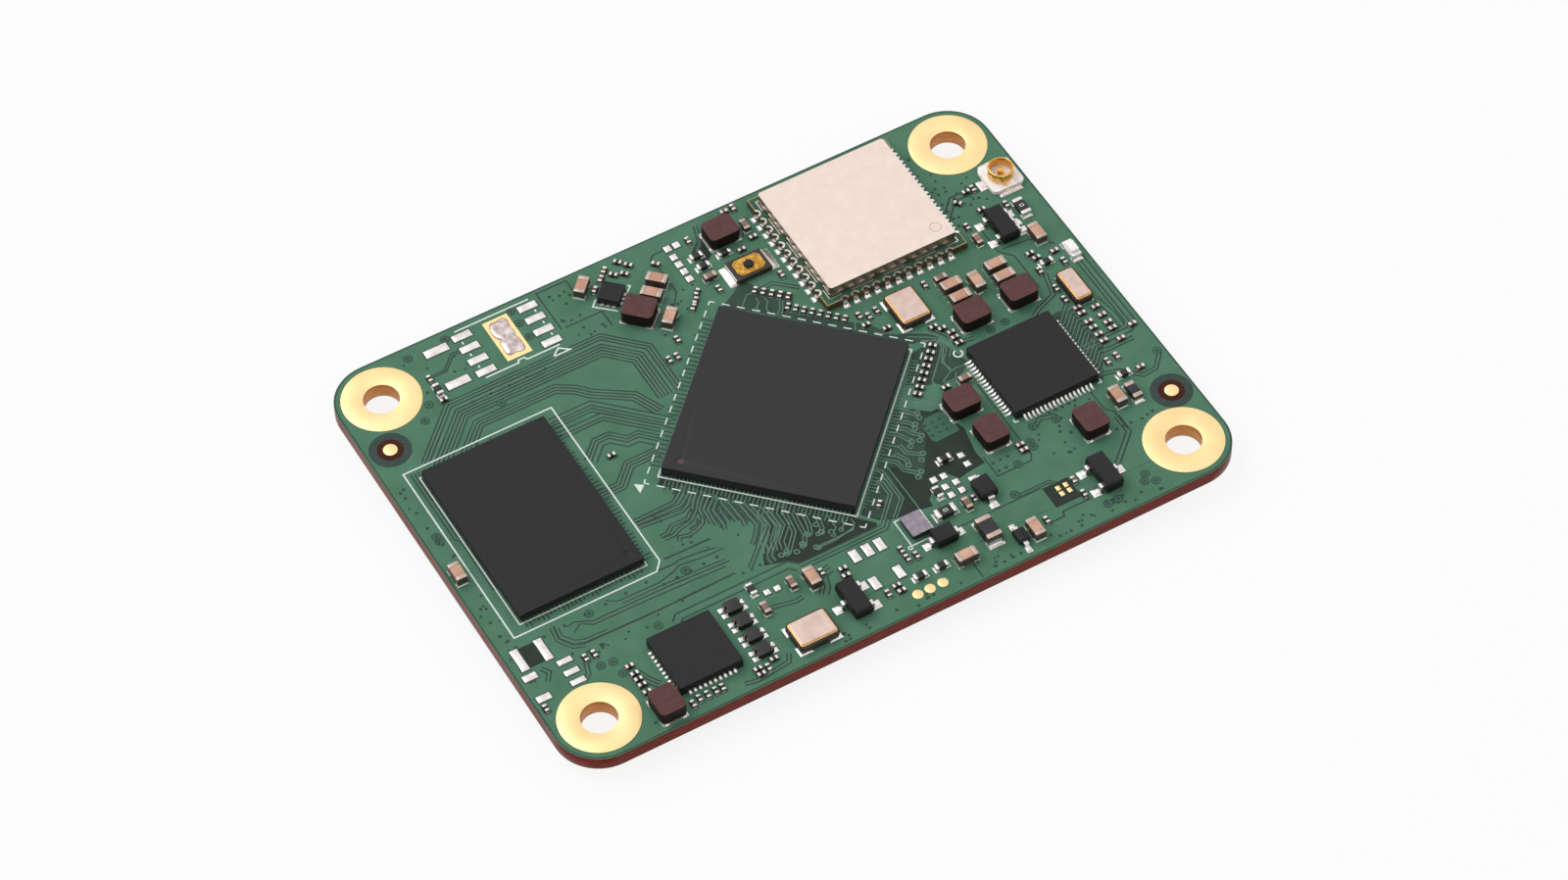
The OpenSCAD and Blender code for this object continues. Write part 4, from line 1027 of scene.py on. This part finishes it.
# Painted shade: darker mask over the half-lit areas
shades.piece("painted_shade_mask", PATCH_Z + 0.003, MASK_MID, "green_laminate")
patches.piece("bare_mask", PATCH_Z, MASK_DARK, "green_laminate")
gaps.piece("track_gaps", GAP_Z, TRACK_GAP, "green_laminate")
tracks.piece("fine_tracks", TRACK_Z, MASK_TRACK, "green_laminate")
vias.piece("covered_vias", VIA_Z, MASK_VIA, "green_laminate")
vias_small.piece("small_vias", VIA_Z + 0.002, TRACK_GAP, "green_laminate")
wells.piece("via_wells", VIA_Z + 0.004, TRACK_GAP, "green_laminate", 0.009)


# Printed layer

SILK_W = 0.115
silk = Layer()
silk.strip(
    [(-13.75, -6.7), (-13.75, 9.5), (-25.85, 9.5), (-25.85, -7.45), (-14.4, -7.45), (-13.75, -6.7)], SILK_W
)
silk.strip(box_outline(MEMORY_LOW, MEMORY_HIGH, 0.12), 0.1)


def processor_frame(margin):
    """Corners of a frame round the turned package, back at the first corner."""
    u, v = PROCESSOR[0] / 2 + margin, PROCESSOR[1] / 2 + margin
    return [on_processor(*c) for c in [(-u, -v), (u, -v), (u, v), (-u, v), (-u, -v)]]


def dashes(layer, path, dash, pitch, width):
    """Dashed strip along a closed path, with solid corners."""
    for (x0, y0), (x1, y1) in zip(path, path[1:]):
        length = math.hypot(x1 - x0, y1 - y0)
        ux, uy = (x1 - x0) / length, (y1 - y0) / length
        count = int(length / pitch)
        for i in range(count + 1):
            begin = (length - count * pitch) / 2 + i * pitch - dash / 2
            a, b = max(begin, 0), min(begin + dash, length)
            layer.strip([(x0 + ux * a, y0 + uy * a), (x0 + ux * b, y0 + uy * b)], width)


silk.strip(processor_frame(0.18), 0.12)
dashes(silk, processor_frame(1.0), 0.62, 1.16, 0.1)
silk.area([(-12.0, 0.25), (-12.0, -0.7), (-11.4, -0.2)])
silk.strip([(-6.1, 16.8), (-6.6, 16.3), (-5.2, 15.0)], SILK_W)
silk.strip([(-3.4, 16.8), (-3.25, 16.65), (-3.8, 16.15)], SILK_W)
silk.strip(box_outline(*node_box("sensor_chip"), 0.27), 0.1)
silk.ring(2.1, -14.85, 0.14, 0.09)
silk.strip(round_path(14.2, -1.3, 0.33, 16, 100, 290), 0.13)
for sx, sy in [(1, -1), (-1, -1), (1, 1)]:
    x = POWER_AT[0] + sx * 3.68
    y = POWER_AT[1] + sy * 3.68
    silk.strip([(x - sx * 0.3, y), (x, y), (x, y - sy * 0.3)], 0.1)
silk.strip([(-16.5, 19.4), (-10.35, 19.4)], SILK_W)
silk.strip(
    [(-16.5, 14.4), (-13.8, 14.4), (-13.7, 14.65), (-13.2, 14.65), (-13.1, 14.4), (-10.4, 14.4)], SILK_W
)
for x in (-16.45, -10.4):
    for y in (18.15, 16.87, 15.6):
        silk.strip([(x, y - 0.12), (x, y + 0.12)], SILK_W)
silk.strip([(-11.35, 13.6), (-10.65, 14.15), (-9.95, 13.6), (-11.35, 13.6)], 0.12)
silk.piece("printed_lines", SILK_Z, INK, "white_plastic")

# Underside: tracks and vias of the plugs, the flash and the processor, with printed frames
UNDER_W = 0.09
UNDER_PITCH = 0.3
UNDER_VIA_R = 0.14
BALL_PITCH = 0.9
EDGE_ROOM = 0.9
INNER_ROOM = 2.6
under_gaps = Layer()
under_vias = Layer()
under_silk = Layer()
under_gaps.strip(board_outline(EDGE_INSET), EDGE_W)
for housing in islands("connector_housings"):
    under_silk.strip(box_outline(housing.min(0), housing.max(0), 0.75), SILK_W)
for contact in islands("connector_contacts"):
    low, high = contact.min(0), contact.max(0)
    x, y = middle_of(contact)[:2]
    plug_y = math.copysign(HOLE_AT[1], y)
    outward = math.copysign(1, y - plug_y)
    begin = high[1] if outward > 0 else low[1]
    room = EDGE_ROOM if abs(y) > abs(plug_y) else INNER_ROOM
    end = begin + outward * random.uniform(0.5, room)
    under_gaps.strip([(x, begin - outward * 0.1), (x, end)], UNDER_W)
    if random.random() < 0.4:
        under_vias.disc(x, end, SMALL_VIA_R, SMALL_VIA_SIDES)
flash_low, flash_high = node_box("flash_chip")
under_silk.strip(box_outline(flash_low, flash_high, 0.3), SILK_W)
under_silk.area([
    (flash_high.x + dx, flash_high.y + dy) for dx, dy in [(0.6, 0), (1.1, -0.3), (1.1, 0.3)]
])
under_gaps.bundle([(flash_high.x - 0.2, 3.0), (-6.5, 3.0), (-5.6, 2.1), (-4.4, 2.1)], 7, -UNDER_PITCH, GAP_W)
under_gaps.bundle(
    [(flash_high.x - 0.2, -1.4), (-7.0, -1.4), (-6.2, -2.2), (-4.6, -2.2)], 5, -UNDER_PITCH, GAP_W
)
for i in range(-7, 8):
    for j in range(-7, 8):
        x, y = on_processor(BALL_PITCH * i, BALL_PITCH * j)
        if random.random() < 0.7 and not (-3.2 < x < 5.2 and -3.4 < y < 3.4):
            under_vias.disc(x, y, UNDER_VIA_R, SMALL_VIA_SIDES)
under_gaps.piece("under_tracks", GAP_Z, TRACK_GAP, "green_laminate", under=True)
under_vias.piece("under_vias", VIA_Z, MASK_TRACK, "green_laminate", under=True)
under_silk.piece("under_lines", SILK_Z, INK, "white_plastic", under=True)

# Bare rings round the two gold targets
red_rings = Layer()
grey_rings = Layer()
for points in islands("gold_lands"):
    low, high = points.min(0), points.max(0)
    if 1.0 < high[0] - low[0] < 1.2 and 1.0 < high[1] - low[1] < 1.2:
        x, y = middle_of(points)[:2]
        red_rings.ring(x, y, 0.76, 0.46, 32)
        grey_rings.ring(x, y, 1.28, 0.6, 40)
red_rings.piece("target_wells", GAP_Z, RING_RED, "green_laminate")
grey_rings.piece("target_rings", PATCH_Z + 0.007, RING_GREY, "green_laminate")


# Solder

# A land that starts above this height is on the board's top
TOP_LAND_Z = BOARD_TOP - 0.01
PILLOW_H = 0.07

solder = Solder()


def solder_ends(ends_node, bodies_node, reach, share, floor):
    """A fillet at each metal end, up a share of its height."""
    centres = [middle_of(b) for b in islands(bodies_node)]
    for end in islands(ends_node):
        low, high = end.min(0), end.max(0)
        if low[2] < BOARD_LOW.z:
            continue
        place = middle_of(end)
        body = min(centres, key=lambda c: math.dist(c[:2], place[:2]))
        outward = facing(end, body)
        foot, half = reach_of(end, outward)
        solder.fillet(foot, outward, 2 * half + 0.04, reach, (high[2] - floor) * share, floor)


for kind, reach, share, floor in [
    ("large_capacitor", 0.08, 0.4, LAND_TOP),
    ("small_capacitor", 0.08, 0.45, LAND_TOP),
    ("resistor", 0.13, 0.6, LAND_TOP),
    ("tiny_capacitor", 0.04, 0.4, BOARD_TOP),
    ("tiny_resistor", 0.04, 0.4, BOARD_TOP),
    ("bead", 0.2, 0.6, LAND_TOP),
]:
    solder_ends(f"{kind}_ends", f"{kind}_bodies", reach, share, floor)
solder_ends("lamp_ends", "lamp_body", 0.18, 0.7, LAND_TOP)


def solder_leads(leads_node, reach, height):
    """A toe of solder at each lead of a square package."""
    centre = np.array(node_middle(leads_node))
    for lead in islands(leads_node):
        size = lead.max(0) - lead.min(0)
        if max(size[0], size[1]) > 1:
            continue
        outward = square_facing(lead, centre)
        foot, half = reach_of(lead, outward)
        solder.fillet(foot, outward, 2 * half, reach, height, LAND_TOP)


solder_leads("power_chip_leads", 0.46, 0.2)
solder_leads("network_chip_leads", 0.22, 0.2)


def pillows(node, height):
    """Crowned solder on each level land of a node that lies on the board's top."""
    for land in islands(node):
        low, high = land.min(0), land.max(0)
        if low[2] < TOP_LAND_Z:
            continue
        x, y = middle_of(land)[:2]
        solder.pillow((x, y), (1, 0), (high[0] - low[0]) / 2, (high[1] - low[1]) / 2, height, LAND_TOP)


pillows("bare_lands", PILLOW_H)
# Sizes of the lands of the crystals, transistors, diodes, line filters and the antenna socket
SOLDERED_LANDS = [(0.9, 1.1), (0.75, 0.75), (0.6, 0.7), (0.42, 0.6), (0.65, 1.0), (0.5, 2.0)]
for land in islands("part_lands"):
    size = (land.max(0) - land.min(0))[:2]
    on_top = land.min(0)[2] > TOP_LAND_Z
    if on_top and any(np.allclose(sorted(size), s, atol=0.02) for s in SOLDERED_LANDS):
        solder.pillow(middle_of(land)[:2], (1, 0), size[0] / 2, size[1] / 2, PILLOW_H, LAND_TOP)

# Joints of the radio module, one at each half hole
JOINT_HEEL = 0.12
JOINT_W = 0.46
JOINT_H = 0.24
HALF_RING_R = 0.27
HALF_RING_W = 0.15
radio_centre = np.array(node_middle("radio_board"))
radio_half = (RADIO_HIGH.x - RADIO_LOW.x) / 2
half_rings = Layer()
for joint in islands("radio_joints"):
    outward = square_facing(joint, radio_centre)
    foot = reach_of(joint, outward)[0]
    beyond = (foot[0] - radio_centre[0]) * outward[0] + (foot[1] - radio_centre[1]) * outward[1]
    beyond -= radio_half
    edge = (foot[0] - outward[0] * beyond, foot[1] - outward[1] * beyond)
    if beyond > 0.3:
        heel = (edge[0] + outward[0] * JOINT_HEEL, edge[1] + outward[1] * JOINT_HEEL)
        solder.fillet(heel, outward, JOINT_W, beyond - 0.13, JOINT_H, LAND_TOP)
    turn = math.degrees(math.atan2(outward[1], outward[0]))
    half_rings.strip(round_path(*edge, HALF_RING_R, 10, turn + 90, 180), HALF_RING_W)

# Glints of solder at the corners of the coils: their place across, and width, reach and height
GLINT_AT = 0.78
GLINT = (0.36, 0.1, 0.16)
coil_centres = [middle_of(b) for b in islands("coil_bodies")]
for plate in islands("coil_terminals"):
    place = middle_of(plate)
    outward = facing(plate, min(coil_centres, key=lambda c: math.dist(c[:2], place[:2])))
    foot, half = reach_of(plate, outward)
    for across in (-GLINT_AT, GLINT_AT):
        spot = (foot[0] - outward[1] * half * across, foot[1] + outward[0] * half * across)
        solder.fillet(spot, outward, *GLINT, LAND_TOP)

# Two runs of solder on the heat land
heat_low, heat_high = Vector((-14.425, 14.9)), Vector((-12.375, 19.0))
heat_x = (heat_low.x + heat_high.x) / 2
runs = Solder()
for share, half_y in [(0.31, 0.92), (0.7, 1.02)]:
    y = heat_low.y + (heat_high.y - heat_low.y) * share
    runs.run((heat_x, y), 0.78, half_y, 0.12, LAND_TOP)
runs.piece("heat_land_solder", RUN)
solder.piece("solder_joints", SOLDER)
half_rings.piece("radio_half_rings", RADIO_HIGH.z - BOARD_TOP + 0.012, SOLDER, "tin", 0.03)

# Painted highlight: light strips on the radio board's top edges at its corners
RADIO_CORNER_HIGHLIGHT = finish("radio_edge", (156, 144, 104), (180, 168, 128), 0.4, (0.4, 0.55), specular=0.2)
corners = Layer()
inset = radio_half - 0.05
short = inset - 1.1
for sx, sy in [(1, 1), (-1, 1), (-1, -1), (1, -1)]:
    path = [(inset * sx, short * sy), (inset * sx, inset * sy), (short * sx, inset * sy)]
    corners.strip([(radio_centre[0] + x, radio_centre[1] + y) for x, y in path], 0.08)
corners.piece("radio_corner_highlights", RADIO_HIGH.z - BOARD_TOP + 0.008, RADIO_CORNER_HIGHLIGHT, "carrier", 0.02)

# Solder along the foot of the shield, and box marks on the two link chips
shield_foot = Layer()
dashes(shield_foot, box_outline(*node_box("shield_lid"), 0.1), 1.8, 2.7, 0.08)
shield_foot.piece("shield_foot_solder", RADIO_HIGH.z - BOARD_TOP + 0.02, TIN, "tin", 0.03)
link_marks = Layer()
for body in islands("resistor_bodies"):
    size = body.max(0) - body.min(0)
    if min(size[0], size[1]) > 0.7:
        x, y = middle_of(body)[:2]
        link_top = body.max(0)[2]
        link_marks.strip(box_outline((x - 0.14, y - 0.1), (x + 0.14, y + 0.1), 0), 0.05)
link_marks.piece("link_marks", link_top - BOARD_TOP + 0.004, INK, "white_plastic", 0.012)


# Snap dome of the push button

DOME_T = 0.04


def snap_dome(sides=32, steps=8):
    """A thin spherical cap in place of the solid one, which flattens as the button goes down."""
    low, high = node_box("button_dome")
    x, y = node_middle("button_dome")
    rim, rise = (high.x - low.x) / 2, high.z - low.z
    radius = (rim * rim + rise * rise) / (2 * rise)
    drop = radius - rise
    inside = radius - DOME_T
    outer = [(radius, math.acos(drop / radius) * i / steps) for i in range(1, steps + 1)]
    inner = [(inside, math.acos(drop / inside) * i / steps) for i in range(steps, 0, -1)]
    points = [(x, y, high.z)]
    for r, angle in outer + inner:
        level = low.z + r * math.cos(angle) - drop
        points += [(px, py, level) for px, py in round_path(x, y, r * math.sin(angle), sides)[:-1]]
    points.append((x, y, high.z - DOME_T))
    turned = [(i, (i + 1) % sides) for i in range(sides)]
    faces = [(0, 1 + i, 1 + j) for i, j in turned]
    for row in range(2 * steps - 1):
        a = 1 + row * sides
        b = a + sides
        faces += [(a + i, b + i, b + j, a + j) for i, j in turned]
    last = len(points) - 1
    faces += [(last, last - sides + j, last - sides + i) for i, j in turned]
    piece = make_piece("snap_dome", points, faces, NICKEL, smooth=True)
    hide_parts("button_dome")
    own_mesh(piece)


snap_dome()


# Small marks on the packages

MARK_T = 0.02
SHIELD_MARK_AT = (18.3, 8.8)
SHIELD_MARK_RISE = 1.614
DIMPLE_DEPTH = 0.024
DIMPLE_R = 0.26


def mark_piece(name, x, y, z, inner, outer, material, slot):
    """Thin ring, or a disc where the inner radius is 0, on top of a package."""
    mark = Layer()
    if inner:
        mark.ring(x, y, (inner + outer) / 2, outer - inner, 28)
    else:
        mark.disc(x, y, outer, 28)
    return mark.piece(name, z - BOARD_TOP, material, slot, MARK_T)


FILM_EDGE = finish("film_edge", (84, 48, 8), (120, 74, 16), 0.2, (0.2, 0.35))
FILM_LINE_W = 0.05
film_low, film_high = node_box("button_film")
film_lines = Layer()
film_x, film_y = node_middle("button_film")
film_l = (film_high.x - film_low.x) / 2 - 0.12
film_w = (film_high.y - film_low.y) / 2 - 0.12
corner = [(film_l * 0.5, film_w), (film_l - 0.25, film_w), (film_l, film_w - 0.25), (film_l, film_w * 0.4)]
for sx, sy in [(1, 1), (-1, 1), (-1, -1), (1, -1)]:
    film_lines.strip([(film_x + sx * a, film_y + sy * b) for a, b in corner], FILM_LINE_W)
film_lines.strip(round_path(film_x, film_y, 0.52, 14, 200, 110), FILM_LINE_W)
film_lines.strip([(film_x + 0.15, film_y - 0.5), (film_x + 0.25, film_y - film_w)], FILM_LINE_W)
film_lines.piece("film_lines", film_high.z - BOARD_TOP + 0.003, FILM_EDGE, "amber_film", 0.012)
MARK_RED = finish("mould_mark", (72, 46, 46), (88, 56, 55), 0.3, (0.5, 0.65))
MARK_GREY = finish("lid_mark", (176, 162, 152), (196, 182, 172), 0.3, (0.4, 0.5), metal=0.8)
dimple_x, dimple_y = on_processor(0.85 - PROCESSOR[0] / 2, PROCESSOR[1] / 2 - 1.25)
dimple_z = node_box("processor_mould")[1].z - DIMPLE_DEPTH
mark_piece("processor_corner_mark", dimple_x, dimple_y, dimple_z, 0, DIMPLE_R, MARK_RED, "mould")
shield_mark_z = RADIO_LOW.z + SHIELD_MARK_RISE
mark_piece("shield_mark", *SHIELD_MARK_AT, shield_mark_z, 0.4, 0.46, MARK_GREY, "nickel_silver")


# Stage, light and camera

# Half the floor's side in metres, its tone, and how far it is whitened where it is seen
FLOOR_HALF = 6.0
FLOOR_TONE = 0.86
FLOOR_WHITE = 0.86


def make_floor():
    """Pale floor that is nearly white to the camera, keeps a soft shadow and isn't seen from below."""
    mesh = bpy.data.meshes.new("floor")
    corners = [(x * FLOOR_HALF, y * FLOOR_HALF, 0) for x, y in [(-1, -1), (1, -1), (1, 1), (-1, 1)]]
    mesh.from_pydata(corners, [], [(0, 1, 2, 3)])
    floor = bpy.data.objects.new("floor", mesh)
    bpy.context.scene.collection.objects.link(floor)
    material, tree, bsdf = start_material("floor")
    feed(tree, bsdf, {"Base Color": (FLOOR_TONE, FLOOR_TONE, FLOOR_TONE, 1), "Roughness": 0.9})
    bsdf.inputs["Specular IOR Level"].default_value = 0.0
    glow = add(tree, "ShaderNodeEmission")
    clear = add(tree, "ShaderNodeBsdfTransparent")
    geometry = add(tree, "ShaderNodeNewGeometry")
    share = add(tree, "ShaderNodeMath", {0: seen_rays(tree), 1: FLOOR_WHITE}, operation="MULTIPLY")
    whiten = add(tree, "ShaderNodeMixShader", {
        "Fac": share.outputs["Value"],
        1: bsdf.outputs["BSDF"],
        2: glow.outputs["Emission"],
    })
    lift = add(tree, "ShaderNodeMixShader", {
        "Fac": geometry.outputs["Backfacing"],
        1: whiten.outputs["Shader"],
        2: clear.outputs["BSDF"],
    })
    feed(tree, tree.nodes["Material Output"], {"Surface": lift.outputs["Shader"]})
    mesh.materials.append(material)


def seen_rays(tree):
    """1 for rays that the camera, gloss or glass sends out."""
    rays = add(tree, "ShaderNodeLightPath").outputs
    pair = {0: rays["Is Camera Ray"], 1: rays["Is Glossy Ray"]}
    first = add(tree, "ShaderNodeMath", pair, operation="MAXIMUM")
    pair = {0: first.outputs["Value"], 1: rays["Is Transmission Ray"]}
    return add(tree, "ShaderNodeMath", pair, operation="MAXIMUM").outputs["Value"]


def make_world():
    """White room: brighter overhead than at the horizon as a light, white where it is seen."""
    world = bpy.data.worlds.new("room")
    bpy.context.scene.world = world
    world.use_nodes = True
    tree = world.node_tree
    place = add(tree, "ShaderNodeTexCoord")
    parts = add(tree, "ShaderNodeSeparateXYZ", {"Vector": place.outputs["Generated"]})
    light = ramp(tree, parts.outputs["Z"], (0.15, (0.3, 0.3, 0.31, 1)), (0.7, (0.8, 0.8, 0.8, 1)))
    room = {"Factor": seen_rays(tree), 6: light, 7: (1, 1, 1, 1)}
    mix = add(tree, "ShaderNodeMix", room, data_type="RGBA")
    feed(tree, tree.nodes["Background"], {"Color": mix.outputs[2]})


def make_lamp(name, place, watts, size):
    """Soft square lamp that looks at the board."""
    data = bpy.data.lights.new(name, "AREA")
    data.energy = watts
    data.size = size
    lamp = bpy.data.objects.new(name, data)
    lamp.location = place
    lamp.rotation_mode = "QUATERNION"
    lamp.rotation_quaternion = (-Vector(place)).to_track_quat("-Z", "Y")
    bpy.context.scene.collection.objects.link(lamp)


def make_camera():
    """Camera where the photograph was taken from: its place, its axes' directions and its focal length."""
    right = Vector((0.86665757, -0.49848736, -0.02037205))
    down = Vector((-0.40170044, -0.67300545, -0.62104784))
    ahead = Vector((0.29587399, 0.54641927, -0.78350786))
    place = Vector((-0.115209, -0.213176, 0.305396))
    data = bpy.data.cameras.new("camera")
    data.sensor_fit = "HORIZONTAL"
    data.sensor_width = 36
    data.lens = 123.13
    data.clip_start = 0.01
    camera = bpy.data.objects.new("camera", data)
    turn = Matrix((right, -down, -ahead)).transposed().to_4x4()
    camera.matrix_world = Matrix.Translation(place) @ turn
    bpy.context.scene.collection.objects.link(camera)
    bpy.context.scene.camera = camera


make_floor()
make_world()
make_lamp("key", (-0.45, 0.5, 0.8), 5.0, 0.8)
make_camera()
bpy.context.scene.view_settings.view_transform = "Standard"
